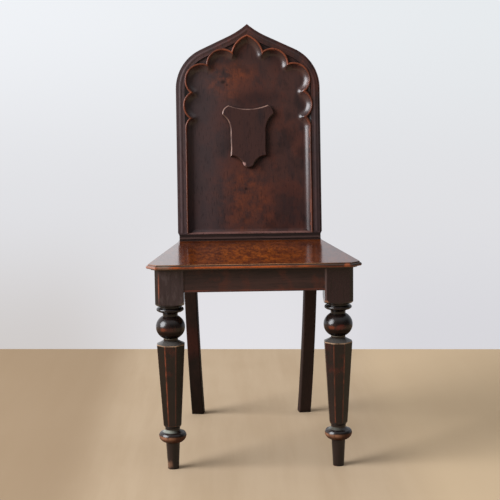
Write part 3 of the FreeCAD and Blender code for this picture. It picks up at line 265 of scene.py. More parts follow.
def leg_wear_and_painted_light(tree, place, tone, rough):
    """where a front leg is rubbed through, and where light and shade are painted on it, by height,
    by the way it faces and by distance from its own axis
    """
    x, y, z = axes(tree, place)
    across = reckon(tree, "SUBTRACT", x, times(tree, reckon(tree, "SIGN", x), LEG_X))
    front = reckon(tree, "SUBTRACT", y, LEG_Y)
    radius = hypotenuse(tree, across, front)
    eighths = reckon(tree, "DIVIDE", reckon(tree, "ARCTAN2", front, across), EIGHTH)
    off_arris = reckon(tree, "PINGPONG", reckon(tree, "SUBTRACT", eighths, 0.5), 0.5)
    off_arris = times(tree, off_arris, EIGHTH, radius)
    turned = reckon(tree, "DIVIDE", across, radius)
    left = ramp(tree, x, 0.0, -0.01)
    side = facing(tree)[0]
    ragged = ramp(tree, speckle(tree, place, 70, 5, 0.7, (1, 1, 0.25)), 0.35, 0.6)
    blotch = ramp(tree, speckle(tree, place, 45, 4, 0.6), 0.46, 0.66)

    # the shaft: red high on its flats, its side flats painted black as shade, rubbed on its
    # arrises, a painted highlight on its rim and painted sheen on its shoulder
    shaft = between(tree, z, SHAFT_FOOT, SHAFT_RIM, 0.004)
    flats = between(tree, z, 0.19, SHAFT_RIM, 0.05)
    tone = stain(tree, tone, (0.07, 0.01, 0.006), flats, blotch, 0.4)
    # flats facing left on the left leg, and flats facing right on both, painted black: painted
    # shade
    black = times(tree, ramp(tree, side, -0.35, -0.6), scaled(tree, left, 0.85, 0.05))
    black = scaled(tree, ramp(tree, side, 0.35, 0.6), 0.9, black)
    tone = stain(tree, tone, (0.003, 0.002, 0.0015), black, shaft)
    strong = times(tree, scaled(tree, ramp(tree, turned, 0.5, -0.2), 0.6, 0.2),
                   scaled(tree, ramp(tree, turned, -0.85, -0.6), 0.8, 0.2),
                   scaled(tree, left, 0.4, 0.5))
    second = between(tree, turned, 0.25, 0.6, 0.1)
    strong = scaled(tree, second, scaled(tree, left, -0.32, 0.4), strong)
    broken = ramp(tree, speckle(tree, place, 95, 3, 0.7, (1, 1, 0.5)), 0.38, 0.56)
    tone = stain(tree, tone, (0.21, 0.045, 0.018), ramp(tree, off_arris, 0.0022, 0.0004),
                 shaft, strong, scaled(tree, broken, 0.65, 0.35), scaled(tree, ragged, 0.7, 0.4))
    # a thin pale line round the rim: painted highlight
    rim = between(tree, z, SHAFT_RIM - 0.001, SHAFT_RIM + 0.0012)
    tone = stain(tree, tone, (0.34, 0.22, 0.14), rim, scaled(tree, ragged, 0.5, 0.4))
    # the sloping shoulder greyed: painted sheen
    shoulder = between(tree, z, SHAFT_RIM + 0.001, SHAFT_TOP)
    tone = stain(tree, tone, (0.095, 0.088, 0.08), shoulder, 0.6)

    # the bun: worn to brown underneath, with a painted highlight at its belly that darkens as
    # painted shade towards its foot and its right, and a painted reflection on its crown
    under_bun = times(tree, between(tree, z, BUN_FOOT, BUN_BELLY + 0.001, 0.004),
                      ramp(tree, radius, 0.013, 0.02))
    # brightest at the belly and darker below and to the right: painted highlight and painted shade
    # over the wear
    bun_tone = tint(tree, ramp(tree, z, 0.062, 0.071), (0.05, 0.018, 0.008), (0.22, 0.1, 0.055))
    bun_tone = stain(tree, bun_tone, (0.09, 0.024, 0.011), ramp(tree, across, -0.006, 0.02), 0.7)
    tone = stain(tree, tone, bun_tone, under_bun, scaled(tree, ragged, 0.5, 0.45))
    # a pale crescent on the crown, strongest to the left: painted reflection
    crown = between(tree, z, BUN_TOP - 0.0045, BUN_TOP + 0.0005, 0.0015)
    tone = stain(tree, tone, (0.3, 0.31, 0.26), crown, ramp(tree, across, 0.014, -0.01),
                 scaled(tree, left, 0.45, 0.2))
    foot = patch(tree, across, z, *FOOT_RUB, ragged)

    # the ball: painted shade underneath, a red and an orange patch below its belly, and a painted
    # highlight on the fillet at its foot
    # near black under the ball: painted shade
    under_ball = between(tree, z, BALL_FOOT, BALL_BELLY - 0.0045, 0.008)
    tone = stain(tree, tone, (0.003, 0.0018, 0.0012), under_ball, 0.95)
    belly = between(tree, z, BALL_FOOT + 0.006, BALL_BELLY + 0.0065, 0.008)
    tone = stain(tree, tone, (0.05, 0.018, 0.012), belly, 0.15)
    red = patch(tree, across, z, *BALL_RED, blotch)
    tone = stain(tree, tone, (0.12, 0.014, 0.009), red, scaled(tree, left, -0.3, 0.5))
    orange = patch(tree, across, z, *BALL_ORANGE, blotch)
    tone = stain(tree, tone, (0.17, 0.034, 0.011), orange, 0.5)
    # a pale ring on the fillet under the ball: painted highlight
    fillet = between(tree, z, BALL_FOOT - 0.0012, BALL_FOOT + 0.0006)
    tone = stain(tree, tone, (0.3, 0.26, 0.2), fillet, 0.5)
    tone = stain(tree, tone, (0.17, 0.085, 0.05), foot, left, 0.6)

    # the block: the left one lighter as painted light, with grey fibres, the right one darker as
    # painted shade, the outer chamfers painted black as shade, a painted highlight on the right
    # block's inner face, rubbed corners and a nick
    block = between(tree, z, BLOCK_FOOT, BLOCK_TOP, 0.004)
    # the left block lightened as painted light; further down, the right one darkened as painted
    # shade
    tone = stain(tree, tone, (0.042, 0.026, 0.027), block, scaled(tree, left, 0.62, 0.18))
    fibres = ramp(tree, speckle(tree, place, 160, 4, 0.65, (1, 1, 0.3)), 0.5, 0.66)
    tone = stain(tree, tone, (0.085, 0.062, 0.06), fibres, block, left, 0.4)
    right = reckon(tree, "SUBTRACT", 1, left)
    tone = stain(tree, tone, (0.02, 0.0055, 0.0085), block, right, 0.5)
    # the outer chamfers painted near black: painted shade
    outer = reckon(tree, "ABSOLUTE", x)
    chamfer = ramp(tree, outer, CHAMFER_X, CHAMFER_X + 0.0015)
    tone = stain(tree, tone, (0.006, 0.0035, 0.003), block, chamfer, 0.85)
    corner = times(tree, between(tree, outer, CHAMFER_X - 0.0015, CHAMFER_X + 0.001, 0.0015),
                   between(tree, z, BLOCK_FOOT + 0.01, BLOCK_TOP - 0.018, 0.02),
                   ramp(tree, front, BLOCK_FACE + 0.0015, BLOCK_FACE))
    tone = stain(tree, tone, (0.22, 0.06, 0.03), corner, left, scaled(tree, ragged, 0.7, 0.15))
    # a lighter strip on the right block's inner face: painted highlight
    inner = times(tree, between(tree, x, INNER_X - 0.001, INNER_X + 0.0042),
                  ramp(tree, front, BLOCK_FACE + 0.0065, BLOCK_FACE + 0.0045))
    tone = stain(tree, tone, (0.11, 0.07, 0.068), inner, block, 0.8)
    tone = stain(tree, tone, (0.42, 0.16, 0.08), faded(tree, place, *NICK, 0.3), block, 0.6)
    dulled = times(tree, reckon(tree, "MAXIMUM", under_bun, under_ball), 0.7)
    return tone, rough, reckon(tree, "SUBTRACT", 1, dulled)


leg_polish = stained_wood("leg polish", (0.0045, 0.0034, 0.003), (0.015, 0.007, 0.0057),
                          (0.26, 0.08, 0.035), gloss=0.4, wear=0.0025, start=0.3, coat=0.8,
                          film=0.24, sheen=0.0, rubbed=leg_wear_and_painted_light)
finish_nodes(leg_polish, "front_leg_left", "front_leg_right")

# Rear legs: sawn out of the plank to a long sweep, planed and stained like the front ones but
# hardly polished, so that they stay dull and dark, the left one with a red patch at its bend.

BEND_RED = (-0.15, 0, 0.19), (0.05, 0, 0.035)


def worn_rear_leg(tree, place, tone, rough):
    """a red patch on the left leg, black towards its foot, greyer on the right one"""
    x, _, z = axes(tree, place)
    tone = stain(tree, tone, (0.06, 0.012, 0.008), faded(tree, place, *BEND_RED, 0.7), 0.35)
    tone = stain(tree, tone, (0.005, 0.003, 0.002), ramp(tree, z, 0.15, 0.03),
                 ramp(tree, x, 0.1, -0.1), 0.6)
    return stain(tree, tone, (0.036, 0.021, 0.018), ramp(tree, x, -0.05, 0.1), 0.45), rough, None


finish_nodes(stained_wood("rear leg stain", (0.009, 0.006, 0.005), (0.025, 0.012, 0.009),
                          (0.09, 0.03, 0.014), gloss=0.5, wear=0.0025, start=0.25, coat=0.2,
                          film=0.4, sheen=0.0, rubbed=worn_rear_leg),
             "rear_leg_left", "rear_leg_right")

# Rails: four boards tenoned between the legs, their fibres running along them. The lower
# arris of the front one is rubbed to a thin red line.

RAIL_TONES = (0.013, 0.0085, 0.008), (0.043, 0.02, 0.017), (0.16, 0.045, 0.022)
RAIL_ARRIS = 0.3775, 0.3805


def worn_rail(tree, place, tone, rough):
    """a thin red line along the lower arris, and the stain blushing red in clouds"""
    z = axes(tree, place)[2]
    ragged = ramp(tree, speckle(tree, place, 60, 5, 0.7, (0.3, 1, 1)), 0.35, 0.6)
    tone = stain(tree, tone, (0.22, 0.05, 0.03), between(tree, z, *RAIL_ARRIS), ragged, 0.3)
    blush = ramp(tree, speckle(tree, place, 26, 4, 0.6), 0.5, 0.66)
    return stain(tree, tone, (0.09, 0.022, 0.012), blush, 0.4), rough, None


for name, grain, rails in (("rail polish", "X", ("front_rail", "rear_rail")),
                           ("side rail polish", "Y", ("side_rail_left", "side_rail_right"))):
    finish_nodes(stained_wood(name, *RAIL_TONES, grain=grain, gloss=0.4, wear=0.002, start=0.4,
                              coat=0.4, sheen=0.1, rubbed=worn_rail), *rails)

# Corner braces and rubbed blocks: offcuts glued into the angles under the seat, never stained,
# gone brown and dusty with age, and darker in their angles as dirt and painted shade.

finish_nodes(stained_wood("bare wood", (0.13, 0.08, 0.045), (0.26, 0.17, 0.1),
                          (0.3, 0.2, 0.12), grain="X", gloss=0.65, wear=0.002, start=0.25,
                          coat=0.0, relief=0.6),
             "corner_brace_front_left", "corner_brace_front_right",
             "corner_brace_rear_left", "corner_brace_rear_right", "rubbed_blocks")

# Seat: one wide plank, its moulded edge worked on the plank itself. The top is thickly
# polished and shows a lively orange figure; the bead round the edge is worn back to bare
# orange along the front, and the underside was never polished.
# A painted highlight lies over the rubbed lip along the top of the front edge.

SEAT_EDGE = 0.42, 0.4348
SEAT_UNDER_BEAD = 0.4252, 0.4285
SEAT_BEAD = 0.4275, 0.4312
SEAT_LIP = 0.4338, 0.4348
SEAT_GLOW = (-0.01, -0.1, 0), (0.1, 0.13, 0)
WORN_EAR = (0.187, 0, 0.43), (0.005, 0, 0.004)
ASHY_EAR = (-0.184, 0, 0.43), (0.013, 0, 0.006)


def seat_wear_and_painted_highlight(tree, place, tone, rough):
    """a mottled glow and dark flecks on top, the wear of each moulded member with a painted
    highlight on the lip, a bare underside
    """
    x, _, z = axes(tree, place)
    glow = faded(tree, place, *SEAT_GLOW, 0.7)
    mottle = ramp(tree, speckle(tree, place, 46, 5, 0.62, (1, 0.4, 1)), 0.38, 0.62)
    tone = stain(tree, tone, (0.32, 0.073, 0.005), mottle, scaled(tree, glow, 0.75, 0.15))
    flecks = ramp(tree, speckle(tree, place, 170, 4, 0.6, (1, 0.22, 1)), 0.44, 0.64)
    tone = stain(tree, tone, (0.045, 0.008, 0.001), flecks, 0.7)

    edge = between(tree, z, *SEAT_EDGE, 0.0002)
    ragged = ramp(tree, speckle(tree, place, 22, 5, 0.7), 0.34, 0.58)
    tone = stain(tree, tone, (0.035, 0.014, 0.007), edge)
    tone = stain(tree, tone, (0.13, 0.012, 0.004), between(tree, z, *SEAT_UNDER_BEAD), 0.8)
    tone = stain(tree, tone, (0.34, 0.072, 0.013), between(tree, z, *SEAT_BEAD, 0.0014),
                 scaled(tree, ragged, 0.7, 0.3), ramp(tree, x, 0.155, 0.08))
    tone = stain(tree, tone, (0.38, 0.09, 0.025), faded(tree, place, *WORN_EAR, 0.5), edge, 0.5)
    # the lip rubbed to orange and lightened further along its top arris: wear and painted
    # highlight
    tone = stain(tree, tone, (0.5, 0.24, 0.12), between(tree, z, *SEAT_LIP, 0.0004),
                 scaled(tree, ragged, 0.5, 0.4), ramp(tree, x, 0.19, 0.11))
    tone = stain(tree, tone, (0.17, 0.135, 0.105), faded(tree, place, *ASHY_EAR, 0.6), edge, 0.6)
    tone = stain(tree, tone, (0.24, 0.15, 0.125), edge, ramp(tree, x, -0.196, -0.203), 0.7)
    bare = ramp(tree, facing(tree)[2], -0.5, -0.9)
    tone = stain(tree, tone, (0.2, 0.12, 0.065), bare)
    return tone, scaled(tree, bare, 0.4, rough), reckon(tree, "SUBTRACT", 1, bare)


finish_nodes(stained_wood("seat polish", (0.044, 0.008, 0.002), (0.135, 0.027, 0.0035),
                          (0.3, 0.12, 0.05), grain="Y", gloss=0.3, wear=0.0015, start=0.55,
                          coat=1.0, film=0.17, sheen=0.0, relief=0.08, rubbed=seat_wear_and_painted_highlight),
             "seat_board")

# Screws: old steel wood screws, countersunk under the braces and sunk up through the rear
# rail, brown with age.


def old_steel():
    """dull steel, rusted in patches"""
    material = bpy.data.materials.new("old steel")
    material.use_nodes = True
    tree = material.node_tree
    surface = tree.nodes["Principled BSDF"]
    place = put(tree, "ShaderNodeTexCoord").outputs["Object"]
    rust = ramp(tree, speckle(tree, place, 260, 4, 0.65), 0.45, 0.62)
    tree.links.new(tint(tree, rust, (0.32, 0.3, 0.28), (0.14, 0.06, 0.03)),
                   surface.inputs["Base Color"])
    tree.links.new(scaled(tree, rust, -0.8, 1.0), surface.inputs["Metallic"])
    tree.links.new(scaled(tree, rust, 0.35, 0.35), surface.inputs["Roughness"])
    return material


finish_nodes(old_steel(), "seat_screws", "back_screws")

# Back board: one plank with a pointed ogee head, its field sunk and hollowed round the edge,
# its rear only stained. The dark stain is clouded, and has faded to two warm patches, one above
# the shield to its left and one below it.
# Painted sheen greys its left side and left border, and painted highlights sit in its sunk corners
# and along the foot of its field.

BACK_LEAN = math.radians(8.1)
BOARD_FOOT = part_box("back_board")[0]
BOARD = Matrix.Translation((0, BOARD_FOOT[1], BOARD_FOOT[2])) @ Matrix.Rotation(-BACK_LEAN, 4, "X")
FACE_LINE = BOARD_FOOT[1] * math.cos(BACK_LEAN) - BOARD_FOOT[2] * math.sin(BACK_LEAN)
DARK_CLOUDS = (((0.02, 0, 0.755), (0.05, 0, 0.017), 0.6),
               ((0.09, 0, 0.5), (0.045, 0, 0.05), 0.35),
               ((0.08, 0, 0.857), (0.04, 0, 0.035), 0.5))
WARM_HIGH = (-0.057, 0, 0.802), (0.048, 0, 0.037)
WARM_LOW = (-0.012, 0, 0.525), (0.054, 0, 0.066)
# bluish-white painted glints in the sunk corners beside the side cusps
SPANDREL_GLINTS = (((-0.1424, 0, 0.773), (0.0016, 0, 0.011)), ((-0.1424, 0, 0.71), (0.0015, 0, 0.009)),
           ((0.1405, 0, 0.779), (0.0014, 0, 0.009)), ((0.1424, 0, 0.708), (0.0013, 0, 0.007)))
KNOTS = (-0.0566, 0.793, 0.005), (-0.048, 0.786, 0.003), (-0.0074, 0.55, 0.004)
# height of a pale line along the foot of the field: painted highlight
FIELD_FOOT_HIGHLIGHT = 0.4495, 0.4535


def board_stain_and_painted_light(tree, place, tone, rough):
    """how the board's stain has clouded, faded and worn, with painted sheen, glints and a
    highlight; skin is the face of its border
    """
    x, y, z = axes(tree, place)
    rear = ramp(tree, facing(tree)[1], 0.3, 0.8)
    front = reckon(tree, "SUBTRACT", 1, rear)
    deep = scaled(tree, z, -math.sin(BACK_LEAN), times(tree, y, math.cos(BACK_LEAN)))
    skin = ramp(tree, deep, FACE_LINE + 0.002, FACE_LINE + 0.0008)

    # the stain: clouded all over, with darker clouds and two faded patches
    cloud = ramp(tree, speckle(tree, place, 20, 4, 0.62, (1, 1, 0.7)), 0.46, 0.62)
    tone = stain(tree, tone, (0.085, 0.026, 0.017), cloud, 0.5)
    shade = ramp(tree, speckle(tree, place, 15, 4, 0.62, (1, 1, 0.8)), 0.5, 0.36)
    tone = stain(tree, tone, (0.014, 0.009, 0.009), shade, 0.55)
    for middle, reach, share in DARK_CLOUDS:
        dim = faded(tree, place, middle, reach, 0.8)
        tone = stain(tree, tone, (0.012, 0.008, 0.009), dim, share)
    high = faded(tree, place, *WARM_HIGH, 0.8)
    low = times(tree, faded(tree, place, *WARM_LOW, 0.9), 0.62)
    lively = scaled(tree, speckle(tree, place, 48, 4, 0.7), 4.2, -1.65)
    tone = stain(tree, tone, (0.15, 0.04, 0.018), reckon(tree, "MAXIMUM", high, low), front,
                 lively)

    # the border: chafed on its face, paler down both sides, the left side's paleness painted
    # light, and painted glints in the sunk corners beside the cusps
    chafed = ramp(tree, speckle(tree, place, 44, 5, 0.68), 0.5, 0.62)
    tone = stain(tree, tone, (0.11, 0.03, 0.022), chafed, skin,
                 scaled(tree, ramp(tree, x, 0.06, -0.03), 0.42, 0.08))
    tone = stain(tree, tone, (0.055, 0.036, 0.036), ramp(tree, x, 0.141, 0.146),
                 ramp(tree, z, 0.77, 0.7), 0.55)
    # the left border paler: painted light
    tone = stain(tree, tone, (0.085, 0.045, 0.042), ramp(tree, x, -0.141, -0.147),
                 scaled(tree, speckle(tree, place, 60, 4, 0.7), 0.8, 0.1))
    # pale blue-white spots in the sunk corners: painted glints
    for middle, reach in SPANDREL_GLINTS:
        glint = faded(tree, place, middle, reach, 0.3)
        tone = stain(tree, tone, (0.42, 0.46, 0.5), glint, front, 0.8)

    # the left side greyed as painted sheen, the knots, the rear, and a painted highlight along the
    # ledge under the field
    tone = stain(tree, tone, (0.06, 0.041, 0.042), ramp(tree, x, -0.01, -0.12), 0.7)
    for across, height, size in KNOTS:
        knot = faded(tree, place, (across, 0, height), (size, 0, 0.8 * size), 0.6)
        tone = stain(tree, tone, (0.012, 0.006, 0.005), knot, 0.8)
    tone = stain(tree, tone, (0.07, 0.03, 0.018), rear, 0.5)
    # a pale, broken line along the ledge under the field: painted highlight
    tone = stain(tree, tone, (0.2, 0.1, 0.085), between(tree, z, *FIELD_FOOT_HIGHLIGHT),
                 scaled(tree, speckle(tree, place, 40, 4, 0.7), 0.9, 0.15),
                 between(tree, x, -0.143, 0.143, 0.003), front)
    polish = scaled(tree, ramp(tree, z, 0.46, 0.76), 0.65, 0.35)
    return tone, scaled(tree, rear, 0.3, rough), times(tree, polish, front)


back_polish = stained_wood("back polish", (0.021, 0.0145, 0.0155), (0.052, 0.023, 0.019),
                           (0.2, 0.06, 0.03), gloss=0.4, wear=0.0015, start=0.5, coat=0.9,
                           film=0.29, sheen=0.0, relief=0.15, rubbed=board_stain_and_painted_light)
finish_nodes(back_polish, "back_board")

# Tracery roll: a half-round bead worked along the edge of the sunk field, up both stiles and
# round the nine foils, where hands and dusters have rubbed the stain off it.

HALF_BACK = 0.1645
BORDER = 0.02
TRACERY = 0.005
HALF_FIELD = HALF_BACK - BORDER - TRACERY
SPRINGING = 0.494 - 1.69 * HALF_FIELD
FIELD_FOOT = 0.0176
FOILS = [(across * HALF_FIELD, SPRINGING + up * HALF_FIELD, radius * HALF_FIELD + TRACERY / 2)
         for across, up, radius in ((0.8215, 0, 0.1785), (0.7986, 0.3634, 0.2315),
                                    (0.7563, 0.7763, 0.2444), (0.409, 1.0237, 0.2344),
                                    (-0.1301, 1.1326, 0.3728))]
ROLL_HALF_WIDTH, ROLL_HEIGHT = 0.0022, 0.002
ROLL_WELD = 0.0002
WELDING_WAY = Vector((0.64, 0.17, 0.75))
OVERRUN = 0.3
SHARP = 0.7
INTO_BOARD = Vector((0, 1, 0))


def roll_end(shape, middle, angle):
    """the outline of a half-round roll's end, at a place on the board: its flat side is just
    under the face, and its width points away at an angle from level"""
    ring = bmesh.ops.create_circle(shape, cap_ends=False, segments=14,
                                   radius=ROLL_HALF_WIDTH)["verts"]
    for corner in ring:
        rise = corner.co.y / ROLL_HALF_WIDTH
        corner.co.y = -ROLL_HEIGHT * rise if rise > 0 else 0.0005
    turn = Matrix.Rotation(-angle, 4, "Y")
    bmesh.ops.transform(shape, matrix=Matrix.Translation(middle) @ turn, verts=ring)
    return list(dict.fromkeys(side for corner in ring for side in corner.link_edges))


def run_on(shape, sides, along):
    """draw a roll's end on in a straight line; what it returns is the new end"""
    made = bmesh.ops.extrude_edge_only(shape, edges=sides)["geom"]
    corners = [part for part in made if isinstance(part, bmesh.types.BMVert)]
    bmesh.ops.translate(shape, vec=along, verts=corners)
    return [part for part in made if isinstance(part, bmesh.types.BMEdge)
            and all(corner in corners for corner in part.verts)]


def bend_on(shape, sides, middle, angle, steps):
    """draw a roll's end on round a middle, anticlockwise as seen from the front"""
    ends = list(dict.fromkeys(corner for side in sides for corner in side.verts))
    made = bmesh.ops.spin(shape, geom=ends + sides, cent=middle, axis=-INTO_BOARD, dvec=(0, 0, 0),
                          angle=angle, steps=steps, use_merge=False, use_duplicate=False)
    return [part for part in made["geom_last"] if isinstance(part, bmesh.types.BMEdge)]


def make_piece(name, shape, material):
    """close a mesh, shade it and fix it to the chair"""
    bmesh.ops.remove_doubles(shape, verts=shape.verts, dist=0.00005)
    bmesh.ops.recalc_face_normals(shape, faces=shape.faces)
    for face in shape.faces:
        face.smooth = True
    for side in shape.edges:
        side.smooth = side.calc_face_angle(0) < SHARP
    mesh = bpy.data.meshes.new(name)
    shape.to_mesh(mesh)
    shape.free()
    mesh.materials.append(material)
    piece = bpy.data.objects.new(name, mesh)
    bpy.context.scene.collection.objects.link(piece)
    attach(piece, "root")


def halve_and_mirror(shape):
    """cut a right half off at the board's middle, double it and set it into the board"""
    geometry = shape.verts[:] + shape.edges[:] + shape.faces[:]
    bmesh.ops.bisect_plane(shape, geom=geometry, dist=1e-6, plane_co=(0, 0, 0),
                           plane_no=(-1, 0, 0), clear_outer=True)
    bmesh.ops.mirror(shape, geom=shape.verts[:] + shape.edges[:] + shape.faces[:],
                     axis="X", merge_dist=0.00002)
    bmesh.ops.transform(shape, matrix=BOARD, verts=shape.verts)


def crossing(first, second):
    """the outer crossing of two circles given as across, up, radius"""
    apart = Vector((second[0] - first[0], second[1] - first[1]))
    along = (apart.length ** 2 + first[2] ** 2 - second[2] ** 2) / (2 * apart.length)
    out = math.sqrt(first[2] ** 2 - along ** 2)
    apart.normalize()
    return Vector((first[0] + apart.x * along + apart.y * out,
                   first[1] + apart.y * along - apart.x * out))


def heading(foil, point):
    """the way a foil's edge runs at a point, anticlockwise"""
    out = Vector((point.x - foil[0], point.y - foil[1])).normalized()
    return Vector((-out.y, out.x))


def tracery_roll():
    """the right half's bead, foil by foil, each mitred to the next at its cusp, then mirrored;
    its corners are welded in one fixed order, so that each run gives the same bead"""
    shape = bmesh.new()
    cusps = [crossing(*pair) for pair in zip(FOILS, FOILS[1:])]
    crest = FOILS[-1]
    apex = Vector((0, crest[1] + math.sqrt(crest[2] ** 2 - crest[0] ** 2)))
    starts, ends = [None] + cusps, cusps + [apex]
    for index, foil in enumerate(FOILS):
        middle = (foil[0], 0, foil[1])
        start, end = starts[index], ends[index]
        low = math.atan2(start.y - foil[1], start.x - foil[0]) - OVERRUN if start else 0.0
        high = math.atan2(end.y - foil[1], end.x - foil[0]) + OVERRUN
        sides = roll_end(shape, (foil[0] + foil[2] * math.cos(low), 0,
                                 foil[1] + foil[2] * math.sin(low)), low)
        before = set(shape.verts)
        root = {corner for side in sides for corner in side.verts}
        if not start:
            foot = run_on(shape, sides, (0, 0, FIELD_FOOT - SPRINGING))
            bmesh.ops.holes_fill(shape, edges=foot)
            sides = [side for side in shape.edges if set(side.verts) <= root]
        bend_on(shape, sides, middle, high - low, 22)
        part = root | (set(shape.verts) - before)
        cuts = []
        if start:
            cuts.append((start, heading(FOILS[index - 1], start) + heading(foil, start), False))
        if index + 1 < len(FOILS):
            cuts.append((end, heading(foil, end) + heading(FOILS[index + 1], end), True))
        else:
            cuts.append((end, Vector((-1, 0)), True))
        for point, way, beyond in cuts:
            part = {corner for corner in part if corner.is_valid}
            geometry = [corner for corner in shape.verts if corner in part]
            geometry += [side for side in shape.edges if set(side.verts) <= part]
            geometry += [face for face in shape.faces if set(face.verts) <= part]
            known = set(shape.verts)
            bmesh.ops.bisect_plane(shape, geom=geometry, dist=1e-6,
                                   plane_co=(point.x, 0, point.y), plane_no=(way.x, 0, way.y),
                                   clear_outer=beyond, clear_inner=not beyond)
            part = {corner for corner in part if corner.is_valid} | (set(shape.verts) - known)
    shape.verts.sort(key=lambda corner: corner.co.dot(WELDING_WAY))
    bmesh.ops.remove_doubles(shape, verts=shape.verts, dist=ROLL_WELD)
    bmesh.ops.mirror(shape, geom=shape.verts[:] + shape.edges[:] + shape.faces[:],
                     axis="X", merge_dist=ROLL_WELD)
    bmesh.ops.transform(shape, matrix=BOARD, verts=shape.verts)
    return shape


def worn_roll(tree, place, tone, rough):
    """grime in patches, and all down the stiles"""
    grimy = ramp(tree, speckle(tree, place, 48, 4, 0.65), 0.5, 0.64)
    grimy = reckon(tree, "MAXIMUM", grimy, ramp(tree, axes(tree, place)[2], 0.72, 0.66))
    return stain(tree, tone, (0.03, 0.011, 0.007), grimy, 0.45), rough, None


roll_polish = stained_wood("rubbed roll", (0.04, 0.015, 0.01), (0.18, 0.05, 0.024),
                           (0.3, 0.09, 0.04), gloss=0.45, wear=0.0015, start=0.25, coat=0.4,
                           film=0.3, sheen=0.0, rubbed=worn_roll)
make_piece("tracery_roll", tracery_roll(), roll_polish)

# Field hollow: the carver dished the field up to the tracery with a gouge, so its floor rises
# in a broad hollow, round the foot of each cusp and down both stiles.

FIELD_DEPTH = 0.0105
HOLLOW_REACH = 0.016
HOLLOW_LIP = 0.0012
HOLLOW_BACK = 0.006
HOLLOW_SINK = 0.0001
HOLLOW_PARTS = 9
HOLLOW_CURVE = 2.2


def section(shape, corners, middle):
    """a strip's end: corners are how far out from the middle and how deep in the board"""
    ring = [shape.verts.new(Vector(middle) + Vector((reach, depth, 0)))
            for reach, depth in corners]
    return [shape.edges.new(pair) for pair in zip(ring, ring[1:] + ring[:1])]


def field_hollow():
    """a dished strip along the field's edge, turned about each cusp on its way up"""
    shape = bmesh.new()
    fall = FIELD_DEPTH + HOLLOW_SINK - HOLLOW_LIP
    shares = [part / HOLLOW_PARTS for part in range(HOLLOW_PARTS + 1)]
    corners = [(-HOLLOW_REACH * share, HOLLOW_LIP + fall * (1 - (1 - share) ** HOLLOW_CURVE))
               for share in shares]
    corners += [(-HOLLOW_REACH, FIELD_DEPTH + HOLLOW_BACK), (0, FIELD_DEPTH + HOLLOW_BACK)]
    foils = [(across, up, radius - TRACERY / 2) for across, up, radius in FOILS]
    sides = section(shape, corners, (HALF_FIELD, 0, FIELD_FOOT - 0.001))
    bmesh.ops.contextual_create(shape, geom=sides)
    sides = run_on(shape, sides, (0, 0, SPRINGING - FIELD_FOOT + 0.001))
    angle = 0.0
    for foil, following in zip(foils, foils[1:]):
        point = crossing(foil, following)
        end = math.atan2(point.y - foil[1], point.x - foil[0])
        sides = bend_on(shape, sides, (foil[0], 0, foil[1]), end - angle, 16)
        angle = math.atan2(point.y - following[1], point.x - following[0])
        sides = bend_on(shape, sides, (point.x, 0, point.y), angle - end, 10)
    crest = foils[-1]
    end = math.acos(-crest[0] / crest[2]) + OVERRUN
    bend_on(shape, sides, (crest[0], 0, crest[1]), end - angle, 24)
    bmesh.ops.remove_doubles(shape, verts=shape.verts, dist=0.00002)
    halve_and_mirror(shape)
    return shape


make_piece("field_hollow", field_hollow(), back_polish)

# Border swell: the border's face is not flat but planed to a low round, which follows the
# stiles, the shoulders and the ogee crest up to the point.

SHOULDER = Vector((0.0659, 0.34695))
SHOULDER_TURN = math.radians(65.1)
FLANK = 0.06963
CREST = Vector((0.12677, 0.64348))
CREST_TURN = math.radians(15.4 + 3)
SWELL_INSET = 0.0108
SWELL_FOOT = 0.0185
SWELL_HALF_WIDTH, SWELL_HEIGHT, SWELL_SINK = 0.0054, 0.001, 0.0002
SWELL_BACK = 0.006
SWELL_PARTS = 9


def border_swell():
    """a low round strip up the stile, round the shoulder and up the ogee's two curves"""
    shape = bmesh.new()
    shares = [part / SWELL_PARTS for part in range(-SWELL_PARTS, SWELL_PARTS + 1)]
    corners = [(SWELL_HALF_WIDTH * share,
                SWELL_SINK - SWELL_HEIGHT * math.cos(share * math.pi / 2) ** 2)
               for share in shares]
    corners += [(SWELL_HALF_WIDTH, SWELL_BACK), (-SWELL_HALF_WIDTH, SWELL_BACK)]
    sides = section(shape, corners, (HALF_BACK - SWELL_INSET, 0, SWELL_FOOT))
    bmesh.ops.contextual_create(shape, geom=sides)
    sides = run_on(shape, sides, (0, 0, SHOULDER.y - SWELL_FOOT))
    sides = bend_on(shape, sides, (SHOULDER.x, 0, SHOULDER.y), SHOULDER_TURN, 20)
    sides = run_on(shape, sides, (-FLANK * math.sin(SHOULDER_TURN), 0,
                                  FLANK * math.cos(SHOULDER_TURN)))
    bend_on(shape, sides, (CREST.x, 0, CREST.y), -CREST_TURN, 14)
    halve_and_mirror(shape)
    return shape


make_piece("border_swell", border_swell(), back_polish)

# Base moulding: a thin moulded strip glued along the foot of the board where it meets the seat,
# its hollow painted black as shade and its lower member paler.

MOULDING_STEP = 0.4445


def moulding_painted_shade_and_tone(tree, place, tone, rough):
    """its hollow painted black as shade and dulled, its lower member paler"""
    z = axes(tree, place)[2]
    # the hollow painted near black: painted shade
    upper = ramp(tree, z, MOULDING_STEP - 0.001, MOULDING_STEP + 0.001)
    tone = stain(tree, tone, (0.008, 0.004, 0.003), upper, 0.7)
    lower = ramp(tree, z, MOULDING_STEP, MOULDING_STEP - 0.002)
    tone = stain(tree, tone, (0.08, 0.045, 0.038), lower, 0.6)
    return tone, rough, scaled(tree, upper, -0.7, 1)


finish_nodes(stained_wood("moulding polish", (0.016, 0.011, 0.01), (0.036, 0.02, 0.017),
                          (0.16, 0.07, 0.045), grain="X", gloss=0.4, wear=0.0012, start=0.5,
                          coat=0.5, sheen=0.0, rubbed=moulding_painted_shade_and_tone), "base_moulding")

# Shield: a blank tablet glued to the field, its edge bevelled all round. The bevels that face
# up and to the left carry a painted highlight, those facing right and down painted shade.

